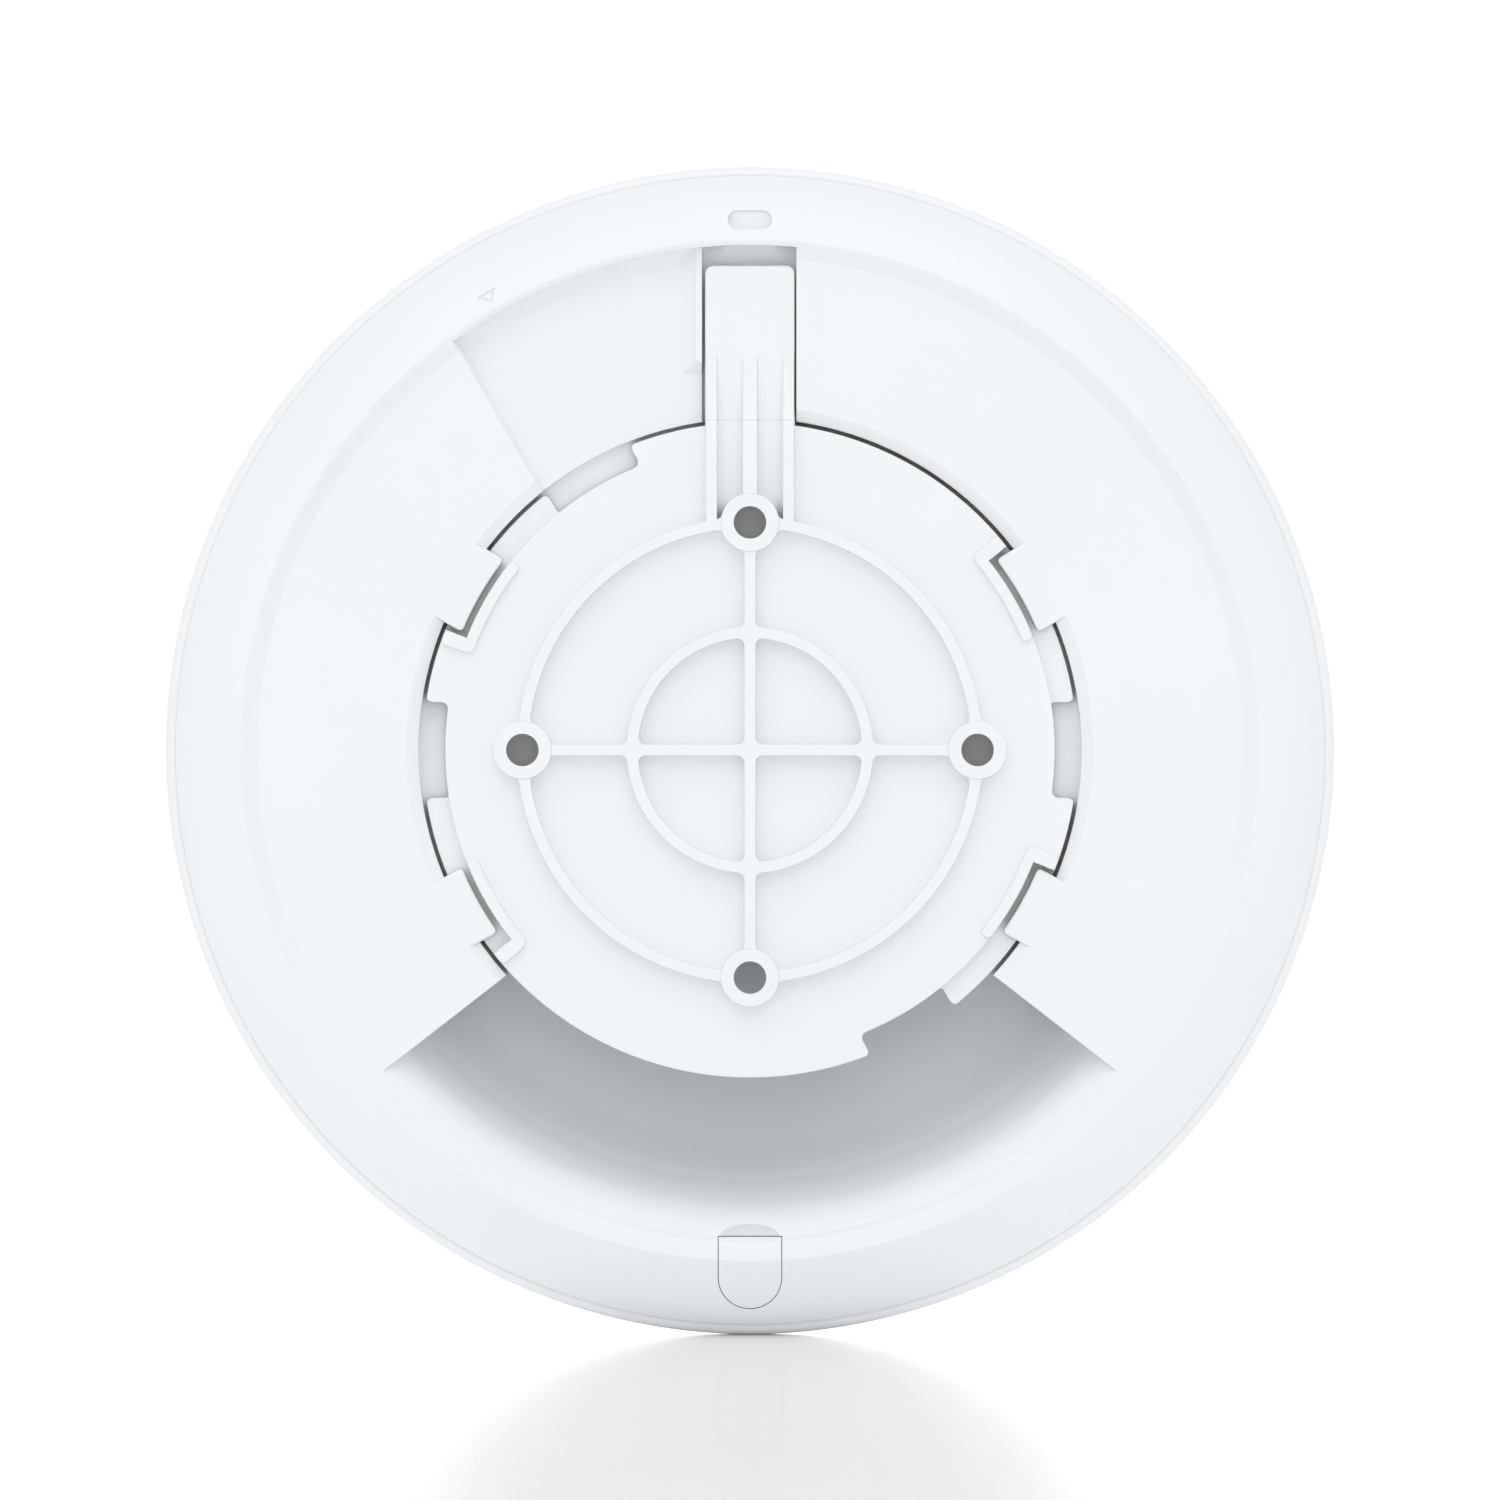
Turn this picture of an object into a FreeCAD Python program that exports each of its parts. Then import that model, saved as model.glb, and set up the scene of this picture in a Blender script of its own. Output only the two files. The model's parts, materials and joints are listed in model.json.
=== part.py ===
"""Ceiling access point with its twist-on bracket.

Frame, in millimetres: the ceiling is the plane Y = 0 and the body hangs from it along +Y.
The bracket's centre is the origin, +Z points along the lock arm and +X to the right of it,
as somebody sees them who looks from the ceiling. An angle is measured from +Z towards -X,
which is anticlockwise for the same viewer.
"""
import FreeCAD, Part
import os
from math import atan2, cos, degrees, hypot, pi, radians, sin

V = FreeCAD.Vector
DEPTH = V(0, 1, 0)
CENTRE = V(0, 0, 0)

# Overall size
BODY_R = 103.0
BODY_DEPTH = 46.0
EPS = 0.5  # how far a cutting tool runs past the face that it cuts
SAME = 0.001  # points nearer than this are one point

# Levels of the rear face, as distances from the ceiling
CREST_Y = 0.8
STOP_Y = 2.0
PLATE_Y = 3.0
BRACKET_Y = 3.2
ARM_Y = 3.5
SHELF_Y = 5.3
ARM_UNDER_Y = 5.4
RECESS_Y = 6.0
BRACKET_UNDER_Y = 7.2
WELL_Y = 7.8
SLOT_Y = 7.2
POCKET_Y = 25.5
BOARD_Y = 25.0

# Rear housing
SKIN = 1.8
WELL_R = 58.3
WELL_CHAMFER = (60.4, 4.3)
BEVEL_IN_R = 86.7
CREST_R = 89.7
CREST_UNDER = (90.3, 3.7)  # the skin's inner corner under the crest
RIM_MID = (96.1, 4.9)
RIM_END = (101.2, 10.5)
LIP_R = 100.6
LIP_END_Y = 18.0
LIP_T = 1.8
GROOVE_Y = 11.1
RECESS_R = 88.8
RECESS_TURN = 30.0
ARM_CLEAR = 0.5
TAB_IN_R = 54.7
TAB_T = 2.0
TABS = ((60.0, 7.4), (119.0, 6.5), (241.0, 6.5), (300.0, 7.4))

# Cable pocket: its plan is a wedge with straight sides
POCKET_TOP_Z = -33.0
POCKET_SIDE = (42.8, -39.6)
POCKET_SLOPE = 23.4 / 18.2
POCKET_LIP = (87.6, 2.2)
POCKET_SHOULDER = ((83.1, 5.0), (80.0, 9.3))
POCKET_WALL_END = (76.6, 18.0)
POCKET_CURVE = ((73.3, 23.3), (67.0, 25.5))
POCKET_FAR_Z = -100.0

# Cable exit in the rim
EXIT_HALF = 5.65
EXIT_TOP_Z = -85.5
EXIT_ROUND_Z = -92.75
EXIT_FLOOR_Y = 10.4
EXIT_GAP = 0.12
PLUG_SKIN = 1.4
PLUG_FACE_END_Y = 5.2
PLUG_HOLLOW_Z = -93.95
SCALLOP_HALF = 5.2
SCALLOP_DEEP = 2.7
SCALLOP_Y = 2.9

# Release slot in the rim, where a flat tool rests while it lifts the arm's tip
RELEASE_Z = 93.2
RELEASE_HALF_X = 3.85
RELEASE_HALF_Z = 1.65
RELEASE_FLOOR_Y = 4.3

# Arrow mark that shows where the arm goes in
ARROW_ANGLE = 30.0
ARROW_TIP_R = 90.8
ARROW_BASE_R = 92.8
ARROW_HALF = 1.8
ARROW_LINE = 0.3
ARROW_DEEP = 0.1

# Bracket
BRACKET_R = 57.6
BRACKET_T = 2.0
BRACKET_RIM_IN_R = 50.6
NOTCH_FLOOR_R = 53.6
NOTCH_HALF = 8.4
NOTCHES = (30.0, 90.0, 210.0, 270.0)
SHELF_START = 6.0  # within the notch, so that the shelf opens into it
SHELF_END = 38.4
STOP_ARC_START = 21.5
STOP_ARC_IN_R = 51.6
STOP_LEG = 2.7
SCREW_CIRCLE_R = 40.0
SCREW_HOLE_R = 2.85
SCREW_HEAD_R = 4.4
SCREW_SEAT_Y = 3.6
BOSS_R = 5.13
RIB_Y = 0.2
RIB_W = 2.0
INNER_RING_R = 20.7

# Lock arm
ARM_HALF = 7.9
ARM_ROOT_Z = 58.0
ARM_TIP_Z = 85.2
ARM_CORNER_R = 1.4
ARM_RIB_HIGH_Z = 49.0
ARM_RIB_END_Z = 69.6
ARM_RIBS = ((-7.75, -5.8), (-1.27, 1.27), (5.8, 7.75))
ARM_STUB_Z = 50.0
ARM_LEAD_Z = 55.0  # from here the plate slopes to the arm
CATCH_X = (-9.66, -8.43)
CATCH_Y = 4.0
CATCH_FOOT_Z = 68.0
CATCH_RAMP_X = -11.8
CATCH_RAMP_Z = 66.2
CATCH_RAMP_HIGH_Z = 68.8
CATCH_RAMP_STEP = 0.3  # how far below the rib's top the ramp meets it
CATCH_FOOT_FLAT = 0.05
SLOT_RIGHT_X = 8.15
SLOT_RAMP_HALF = 3.4
SLOT_RAMP_Z = 85.4
SLOT_RAMP_FOOT_HALF = 7.0
SLOT_RAMP_Y = 5.6  # how high the ramp in the slot's end reaches

# Front cover
COVER_T = 2.0
COVER_EDGE = (101.6, 11.2)
COVER_EDGE_MID = (102.55, 12.0)
COVER_SIDE_Y = (13.6, 17.5)
COVER_LIP_IN_R = 100.9
SHOULDER_R = 20.0
CATCH_COUNT = 6
COVER_CATCH = (99.9, 18.3, 19.9)
COVER_CATCH_SPAN = 8.0

# Light ring in the middle of the dome
LIGHT_R = (21.0, 24.0)
LIGHT_END_Y = 42.6
LIGHT_GAP = 0.05
LIGHT_POST_COUNT = 3
LIGHT_POST_R = 1.4
LIGHT_POST_AT_R = 26.4
CAP_UNDER_Y = 43.6
LIGHT_BOARD_R = (16.0, 28.0)
LIGHT_BOARD_Y = (40.2, 41.2)
DIODE_COUNT = 12
DIODE = 2.4
DIODE_H = 0.9
DIODE_TURN = 15.0
RIBBON_HALF = 4.0
RIBBON_T = 0.3
RIBBON_Z = -20.0
RIBBON_PLUG_HALF = (5.0, 1.6)
RIBBON_PLUG_H = 2.2
RIBBON_WAY_HALF = (6.0, 2.0)

# Main board and what leans on it
BOARD_T = 1.6
BOARD_R = 66.0
BOARD_EDGE_Z = -30.4
BOARD_POSTS = ((40.0, 43.0), (-40.0, 43.0), (56.0, -14.0), (-56.0, -14.0))
SPREADER_POSTS = ((61.0, 35.2), (-61.0, 35.2), (61.0, -35.2), (-61.0, -35.2))
POST_R = 3.4
POST_HOLE_R = 1.25
POST_HOLE_DEEP = 9.0
SCREW_R = 1.2
SCREW_LENGTH = 8.0
HEAD_R = 2.6
HEAD_H = 1.7
CROSS_HALF = (1.4, 0.3)
CROSS_FLOOR = 0.8
SCREW_WAY_R = 1.5
HEAD_WAY_R = 3.2
POST_WAY_R = 3.9
SPREADER_Y = 29.8
SPREADER_T = 2.0
SPREADER_R = 75.0
SPREADER_RIM_T = 1.5
SPREADER_RIM_H = 1.6
SEAT_GAP = 0.01  # between the board and what stands on its ceiling side
BOARD_TOP_Y = BOARD_Y + BOARD_T
PLATE_TOP_Y = SPREADER_Y + SPREADER_T

# Chips on the board's room side: places as (x, z, width, height), and the thickness
CHIPS = {
    "processor_chip": (((0.0, 14.0, 19.0, 19.0),), 1.5),
    "memory_chips": (((-19.0, 11.0, 9.0, 13.0), (-19.0, -4.0, 9.0, 13.0)), 1.1),
    "flash_chip": (((18.0, 2.0, 8.0, 6.0),), 1.0),
    "radio_chips": (
        ((-36.0, 12.0, 10.0, 10.0), (36.0, 12.0, 10.0, 10.0), (0.0, 44.0, 10.0, 10.0)), 1.0,
    ),
}
DOT_R = 0.5
DOT_DEEP = 0.1
DOT_IN = 1.3
CAN_HALF = 11.0
CAN_H = 2.3
CAN_T = 0.25
LID_EDGE_H = 0.4
LID_CLEAR = 0.05
PAD_HALF = 8.0

# Aerials: angles, radius of the wall, length, width and height of each
ANTENNAS = {
    "antennas_24ghz": ((45.0, 135.0, 225.0, 315.0), 56.0, 26.0, 7.0, 6.0),
    "antennas_5ghz": ((15.0, 105.0, 195.0, 285.0), 62.0, 14.0, 6.0, 5.0),
    "antennas_6ghz": ((75.0, 165.0, 255.0, 345.0), 62.0, 11.0, 5.0, 4.4),
}
ANTENNA_T = 0.4
ANTENNA_FOOT = 3.0
ANTENNA_SLOT_HALF = 0.4
LEAD_R = 0.6
LEAD_LIFT = 0.1
LEAD_BEND = 2.5
LEAD_START_R = 52.8
LEAD_END_R = 29.5
LEAD_ANGLES = ANTENNAS["antennas_24ghz"][0]
LEAD_WAY_R = 2.0
CONNECTOR_R = 1.5
CONNECTOR_H = 1.3
SCAN_HALF = 9.0
SCAN_H = 5.5
SCAN_Z = 38.0
SCAN_T = 0.8
SCAN_STEP = (6.0, 3.0)  # its cut-off corner starts here

# Network jack
JACK_X = 0.0
JACK_HALF = 8.1
JACK_LENGTH = 21.5
JACK_H = 13.4
JACK_WALL = 0.35
JACK_CLEAR = 0.3
JACK_CAVITY_HALF = 5.95
JACK_CAVITY_Y = (13.4, 21.4)
JACK_CAVITY_DEEP = 13.5
JACK_LATCH_HALF = 3.1
JACK_LATCH_H = 2.2
INSERT_CLEAR = 0.02
INSERT_SHORT = 0.5
CONTACT_COUNT = 8
CONTACT_PITCH = 1.02
CONTACT_HALF = 0.22
CONTACT_SLOT_HALF = 0.3
CONTACT_SLOT_DEEP = 0.9
CONTACT_SLOT_Z = (1.0, 12.0)
CONTACT_Z = 2.4
CONTACT_LINE = ((-0.6, 0), (-0.25, 0), (-0.25, 1.5), (2.4, 9.0), (2.0, 9.0), (-0.6, 1.6))

# Power supply on the board's ceiling side
MAGNETICS_HALF = 8.0
MAGNETICS_H = 6.0
MAGNETICS_LENGTH = 15.0
MAGNETICS_GAP = 3.0
MAGNETICS_EDGE = 2.0
MAGNETICS_PANEL_DEEP = 0.2
CORE_PLACE = (-28.0, -16.0)
CORE_HALF = 8.0
CORE_H = 11.0
CORE_WAIST = 2.0
CORE_END = 2.5
COIL_PLACES = ((-28.0, 4.0), (28.0, 18.0))
COIL_R = (5.0, 4.0)
COIL_H = 6.0
COIL_END = 1.3
CAPACITOR_PLACES = ((28.0, -2.0), (40.0, -2.0), (34.0, 8.5))
CAPACITOR_R = 4.0
CAPACITOR_H = 10.0
CAPACITOR_LINE = 0.2

# Reset button, the switch behind it, and the switch's plunger
BUTTON_X = 19.0
BUTTON_Y = 18.5
BUTTON_R = 1.5
BUTTON_HOLE_R = 1.58
BUTTON_PROUD = 0.8
BUTTON_FLANGE_R = 2.4
BUTTON_FLANGE_T = 0.8
BUTTON_PLAY = 0.1
SWITCH_Z = POCKET_TOP_Z + SKIN + 2.6
SWITCH_DEEP = 4.0
SWITCH_HALF = 3.0
SWITCH_UP = 2.2
PLUNGER_R = 0.9
PLUNGER_HOLE_R = 0.97
PLUNGER_DEEP = 1.6
PLUNGER_HOLE_DEEP = 2.6


def sheet_point(r, y):
    """A point of a turned profile: r from the axis, y from the ceiling."""
    return V(r, y, 0)


def outline(start, steps, place):
    """A closed wire. A step is an end point, or a (middle, end) pair of points for an arc."""
    edges = []
    here = place(*start)
    for step in list(steps) + [start]:
        if isinstance(step[0], tuple):
            edges.append(Part.Arc(here, place(*step[0]), place(*step[1])).toShape())
            here = place(*step[1])
        elif not here.isEqual(place(*step), SAME):
            edges.append(Part.makeLine(here, place(*step)))
            here = place(*step)
    return Part.Wire(edges)


def lathe(start, *steps):
    """A solid turned about the Y axis from a profile of (radius, distance from ceiling)."""
    return Part.Face(outline(start, steps, sheet_point)).revolve(CENTRE, DEPTH, 360)


def slab(y0, y1, start, *steps):
    """A plate from y0 to y1 whose plan is given by (x, z) points."""
    face = Part.Face(outline(start, steps, lambda x, z: V(x, y0, z)))
    return face.extrude(DEPTH * (y1 - y0))


def rod(r, y0, y1, x=0.0, z=0.0):
    """A round bar along Y."""
    return Part.makeCylinder(r, y1 - y0, V(x, y0, z), DEPTH)


def tube(r_in, r_out, y0, y1):
    """A round tube along Y."""
    return rod(r_out, y0, y1).cut(rod(r_in, y0 - EPS, y1 + EPS))


def block(x0, x1, y0, y1, z0, z1):
    """A box between two corners."""
    return Part.makeBox(x1 - x0, y1 - y0, z1 - z0, V(x0, y0, z0))


def turned(shape, angle):
    """The shape turned by an angle about the object's axis."""
    copy = shape.copy()
    copy.rotate(CENTRE, DEPTH, -angle)
    return copy


def polar(r, angle):
    """The (x, z) of a point at radius r."""
    return (-r * sin(radians(angle)), r * cos(radians(angle)))


def sector(r0, r1, a0, a1, y0, y1):
    """Part of a ring between two angles."""
    middle = (a0 + a1) / 2
    return slab(
        y0, y1, polar(r0, a0), polar(r1, a0), (polar(r1, middle), polar(r1, a1)), polar(r0, a1),
        (polar(r0, middle), polar(r0, a0)),
    )


def spoke(angle, half, r0, r1, y0, y1):
    """A straight bar along the radius at an angle."""
    return turned(block(-half, half, y0, y1, r0, r1), angle)


def side_profile(x0, x1, start, *steps):
    """A solid from x0 to x1 whose section is given by (y, z) points."""
    face = Part.Face(outline(start, steps, lambda y, z: V(x0, y, z)))
    return face.extrude(V(x1 - x0, 0, 0))


def front_profile(z0, z1, start, *steps):
    """A solid from z0 to z1 whose section is given by (x, y) points."""
    face = Part.Face(outline(start, steps, lambda x, y: V(x, y, z0)))
    return face.extrude(V(0, 0, z1 - z0))


def joined(shapes):
    """One solid made of several that meet."""
    shapes = list(shapes)
    return shapes[0].multiFuse(shapes[1:]).removeSplitter()


def bend(r, y, radius, a0, a1):
    """The middle and end points of an arc about (r, y), for a profile. Angles are from +r to +y."""
    middle = radians((a0 + a1) / 2)
    end = radians(a1)
    return (
        (r + radius * cos(middle), y + radius * sin(middle)),
        (r + radius * cos(end), y + radius * sin(end)),
    )


# ---------------------------------------------------------------- bracket


def bracket_ribs():
    """Two ring ribs and a cross between the screw bosses."""
    reach = SCREW_CIRCLE_R
    yield tube(reach - RIB_W / 2, reach + RIB_W / 2, RIB_Y, BRACKET_Y + EPS)
    yield tube(INNER_RING_R - RIB_W / 2, INNER_RING_R + RIB_W / 2, RIB_Y, BRACKET_Y + EPS)
    yield block(-reach, reach, RIB_Y, BRACKET_Y + EPS, -RIB_W / 2, RIB_W / 2)
    yield block(-RIB_W / 2, RIB_W / 2, RIB_Y, BRACKET_Y + EPS, -reach, reach)


def arm_ribs(z0, z1):
    """The arm's three ribs between two heights; they slope down to the arm's face."""
    for x0, x1 in ARM_RIBS:
        rib = side_profile(
            x0, x1, (BRACKET_Y + EPS, SCREW_CIRCLE_R), (RIB_Y, SCREW_CIRCLE_R),
            (RIB_Y, ARM_RIB_HIGH_Z), (ARM_Y, ARM_RIB_END_Z), (BRACKET_Y + 2 * EPS, ARM_RIB_END_Z),
        )
        yield rib.common(block(x0, x1, 0, ARM_UNDER_Y, z0, z1))


def stop(notch):
    """The raised L that a tab turns up against."""
    leg_angle = degrees(STOP_LEG / BRACKET_R)
    end = notch + SHELF_END
    arc = sector(
        STOP_ARC_IN_R, NOTCH_FLOOR_R, notch + STOP_ARC_START, end + leg_angle, STOP_Y, BRACKET_Y + EPS
    )
    leg = sector(STOP_ARC_IN_R, BRACKET_R, end, end + leg_angle, STOP_Y, BRACKET_Y + EPS)
    return arc.fuse(leg)


def notches_and_shelves():
    """What is taken from the bracket's edge: each notch goes right through and opens on a shelf."""
    beyond = BRACKET_R + 2 * EPS
    for notch in NOTCHES:
        mouth = spoke(notch, NOTCH_HALF, BRACKET_RIM_IN_R, beyond, 0, WELL_Y)
        yield mouth.cut(rod(NOTCH_FLOOR_R, -EPS, WELL_Y + EPS))
        yield sector(NOTCH_FLOOR_R, beyond, notch + SHELF_START, notch + SHELF_END, 0, SHELF_Y)


def mounting_bracket():
    """The disc with its rim, notches, shelves, ribs and bosses, and the stub of the arm."""
    under = tube(BRACKET_RIM_IN_R, BRACKET_R, BRACKET_Y, BRACKET_UNDER_Y)
    disc = rod(BRACKET_R, BRACKET_Y, BRACKET_Y + BRACKET_T)
    stub = block(-ARM_HALF, ARM_HALF, ARM_Y, ARM_UNDER_Y, ARM_STUB_Z, ARM_ROOT_Z)
    body = joined([under, disc, stub])
    for cutter in notches_and_shelves():
        body = body.cut(cutter)
    lead = side_profile(
        ARM_RIBS[0][1], ARM_RIBS[-1][0], (0, ARM_LEAD_Z), (BRACKET_Y, ARM_LEAD_Z),
        (ARM_Y, ARM_ROOT_Z), (0, ARM_ROOT_Z + EPS),
    )
    body = body.cut(lead)
    raised = [stop(notch) for notch in NOTCHES] + list(bracket_ribs())
    raised += list(arm_ribs(SCREW_CIRCLE_R, ARM_ROOT_Z))
    for quarter in range(4):
        x, z = polar(SCREW_CIRCLE_R, 90 * quarter)
        raised.append(rod(BOSS_R, 0, BRACKET_Y + BRACKET_T, x, z))
    body = joined([body] + raised)
    for quarter in range(4):
        x, z = polar(SCREW_CIRCLE_R, 90 * quarter)
        body = body.cut(rod(SCREW_HOLE_R, -EPS, WELL_Y, x, z))
        body = body.cut(rod(SCREW_HEAD_R, SCREW_SEAT_Y, WELL_Y, x, z))
    return body


def lock_arm():
    """The springy tongue with its round-cornered tip and the sloping ends of its ribs."""
    c = ARM_CORNER_R
    k = c * (1 - cos(pi / 4))
    tip = ARM_TIP_Z
    plate = slab(
        ARM_Y, ARM_UNDER_Y, (-ARM_HALF, ARM_ROOT_Z), (ARM_HALF, ARM_ROOT_Z), (ARM_HALF, tip - c),
        ((ARM_HALF - k, tip - k), (ARM_HALF - c, tip)), (-ARM_HALF + c, tip),
        ((-ARM_HALF + k, tip - k), (-ARM_HALF, tip - c)),
    )
    return joined([plate] + list(arm_ribs(ARM_ROOT_Z, ARM_RIB_END_Z)))


# ---------------------------------------------------------------- rear housing


def rear_solid():
    """Everything behind the rear housing's outer face, down to the end of its lip."""
    return lathe(
        (0, WELL_Y), (WELL_R, WELL_Y), (WELL_R, WELL_CHAMFER[1]), (WELL_CHAMFER[0], PLATE_Y),
        (BEVEL_IN_R, PLATE_Y), (CREST_R, CREST_Y), (RIM_MID, RIM_END), (RIM_END[0], GROOVE_Y),
        (LIP_R, GROOVE_Y), (LIP_R, LIP_END_Y), (0, LIP_END_Y),
    )


def rear_hollow():
    """The room inside the rear housing before the pocket and the trays are added."""
    floor = WELL_Y + SKIN
    plate = PLATE_Y + SKIN
    inner = LIP_R - LIP_T
    return lathe(
        (0, floor), (WELL_CHAMFER[0] + SKIN, floor), (WELL_CHAMFER[0] + SKIN, plate),
        (CREST_R - SKIN, plate), CREST_UNDER, (inner, RIM_END[1]),
        (inner, LIP_END_Y + EPS), (0, LIP_END_Y + EPS),
    )


def pocket_turned(grow):
    """The pocket's outer wall: a round shoulder under the crest, and a wide curve to its floor."""

    def grown(point):
        return (point[0] + grow, point[1] + grow)

    return lathe(
        (0, -EPS), (POCKET_LIP[0] + grow, -EPS), grown(POCKET_LIP),
        tuple(map(grown, POCKET_SHOULDER)), grown(POCKET_WALL_END),
        tuple(map(grown, POCKET_CURVE)), (0, POCKET_Y + grow),
    )


def pocket_wedge(grow):
    """The pocket's plan: a straight wall at the jack and two sides that spread outwards."""
    slant = hypot(1, POCKET_SLOPE)
    x0, z0 = POCKET_SIDE
    z_top = POCKET_TOP_Z + grow

    def reach(z):
        return x0 + (z0 - z) * POCKET_SLOPE + grow * slant

    return slab(
        -EPS, POCKET_Y + grow, (-reach(z_top), z_top), (reach(z_top), z_top),
        (reach(POCKET_FAR_Z), POCKET_FAR_Z), (-reach(POCKET_FAR_Z), POCKET_FAR_Z),
    )


def arm_room(grow, y1):
    """Where the arm's tip goes while the body turns: from its latched place to the step."""
    side = ARM_HALF + ARM_CLEAR + grow
    near = TAB_IN_R
    far = RECESS_R + grow
    swept = sector(near, far, 0, RECESS_TURN, -EPS, y1)
    last = spoke(RECESS_TURN, side, near, far + EPS, -EPS, y1)
    first = block(-side, SLOT_RIGHT_X + grow, -EPS, y1, near, far + EPS)
    return joined([swept, last, first]).common(rod(far, -2 * EPS, y1 + EPS))


def arm_slot(grow):
    """The deeper slot under the latched arm."""
    left = CATCH_X[1] - grow
    start = WELL_R - EPS - grow
    tool = block(left, SLOT_RIGHT_X + grow, -EPS, SLOT_Y + grow, start, RECESS_R + grow + EPS)
    return tool.common(rod(RECESS_R + grow, -2 * EPS, SLOT_Y + grow + EPS))


def exit_shape(grow, y0, y1):
    """The U of the cable exit: square towards the middle and round at the rim."""
    half = EXIT_HALF + grow
    return slab(
        y0, y1, (-half, EXIT_TOP_Z + grow), (half, EXIT_TOP_Z + grow), (half, EXIT_ROUND_Z),
        ((0, EXIT_ROUND_Z - half), (-half, EXIT_ROUND_Z)),
    )


def scallop(grow):
    """The finger hollow beside the cable exit plug, turned about a line across it."""
    half = SCALLOP_HALF + grow
    deep = SCALLOP_DEEP + grow
    base = V(0, SCALLOP_Y, EXIT_TOP_Z)
    arc = Part.Arc(base - V(half, 0, 0), base + V(0, deep, 0), base + V(half, 0, 0)).toShape()
    chord = Part.makeLine(base + V(half, 0, 0), base - V(half, 0, 0))
    return Part.Face(Part.Wire([arc, chord])).revolve(base, V(1, 0, 0), 360)


def slot_ramp():
    """The slope in the end of the arm's slot that leads a flat tool up out of it."""
    foot = SLOT_RAMP_FOOT_HALF
    low = SLOT_Y + EPS
    far = RECESS_R + EPS
    ramp = side_profile(
        -foot, foot, (low, SLOT_RAMP_Z), (SLOT_Y, SLOT_RAMP_Z), (SLOT_RAMP_Y, far), (low, far),
    )
    sides = front_profile(
        SLOT_RAMP_Z, far, (-foot, low), (-foot, SLOT_Y), (-SLOT_RAMP_HALF, SLOT_RAMP_Y),
        (SLOT_RAMP_HALF, SLOT_RAMP_Y), (foot, SLOT_Y), (foot, low),
    )
    return ramp.common(sides).common(rod(far, 0, WELL_Y))


def release_slot():
    """The shallow round-ended slot in the rim."""
    flat = RELEASE_HALF_X - RELEASE_HALF_Z
    h = RELEASE_HALF_Z
    z = RELEASE_Z
    return slab(
        -EPS, RELEASE_FLOOR_Y, (-flat, z - h), ((-flat - h, z), (-flat, z + h)), (flat, z + h),
        ((flat + h, z), (flat, z - h)),
    )


def arrow_mark():
    """A fine triangular line pressed into the rim, pointing at the axis."""

    def triangle(inset):
        half = ARROW_HALF - 2 * inset
        tip = ARROW_TIP_R + 1.6 * inset
        base = ARROW_BASE_R - inset
        return slab(0, RIM_END[1], (0, tip), (half, base), (-half, base))

    def along_rim(deeper):
        return [(r, y + deeper) for r, y in ((CREST_R, CREST_Y), RIM_MID, RIM_END)]

    line = triangle(0).cut(triangle(ARROW_LINE))
    above = along_rim(-EPS)
    below = along_rim(ARROW_DEEP)
    skin = lathe(above[0], (above[1], above[2]), below[2], (below[1], below[0]))
    return turned(line, ARROW_ANGLE).common(skin)


def tabs():
    """The four tabs that rest on the bracket's shelves."""
    for angle, half in TABS:
        bar = spoke(angle, half, BRACKET_RIM_IN_R, WELL_CHAMFER[0] + EPS, PLATE_Y, PLATE_Y + TAB_T)
        yield bar.cut(rod(TAB_IN_R, 0, WELL_Y))


def catch_rib():
    """The rib that the arm drops behind, with its round foot and the ramp that lifts the arm."""
    x0, x1 = CATCH_X
    foot = CATCH_FOOT_Z
    c = x1 - x0
    k = c * (1 - cos(pi / 4))
    rib = slab(
        CATCH_Y, RECESS_Y + EPS, (x1, foot), (x1, CREST_R), (x0, CREST_R),
        (x0, foot + c), ((x0 + k, foot + k), (x1 - CATCH_FOOT_FLAT, foot)),
    )
    top = CATCH_Y + CATCH_RAMP_STEP
    low = RECESS_Y + EPS
    ramp = front_profile(
        CATCH_RAMP_Z, CREST_R, (x1, top), (x1, low), (CATCH_RAMP_X, low), (CATCH_RAMP_X, RECESS_Y),
        (x0 + CATCH_RAMP_STEP, top),
    )
    end = side_profile(
        CATCH_RAMP_X, x1, (low, CATCH_RAMP_Z), (RECESS_Y, CATCH_RAMP_Z), (top, CATCH_RAMP_HIGH_Z),
        (top, CREST_R), (low, CREST_R),
    )
    return rib.fuse(ramp.common(end)).common(rod(RECESS_R + EPS, 0, WELL_Y))


def posts(places, y0, y1):
    """Round posts for screws, still without their pilot holes."""
    for x, z in places:
        yield rod(POST_R, y0, y1, x, z)


def linings(solid):
    """The walls round everything that is sunk into the rear face, and the screw posts."""
    deep = POCKET_Y + SKIN
    side = RELEASE_HALF_X + SKIN
    yield pocket_turned(SKIN).common(pocket_wedge(SKIN)).common(rod(LIP_R - SKIN, 0, deep))
    yield arm_room(SKIN, RECESS_Y + SKIN).common(solid)
    yield arm_slot(SKIN).common(solid)
    yield exit_shape(SKIN, 0, EXIT_FLOOR_Y + SKIN).common(solid)
    yield scallop(SKIN).common(solid)
    end = RELEASE_Z + RELEASE_HALF_Z + SKIN
    yield block(-side, side, 0, RELEASE_FLOOR_Y + SKIN, RECESS_R, end).common(solid)
    yield from posts(BOARD_POSTS, WELL_Y + SKIN / 2, BOARD_Y)
    yield from posts(SPREADER_POSTS, PLATE_Y + SKIN / 2, SPREADER_Y)


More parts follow.
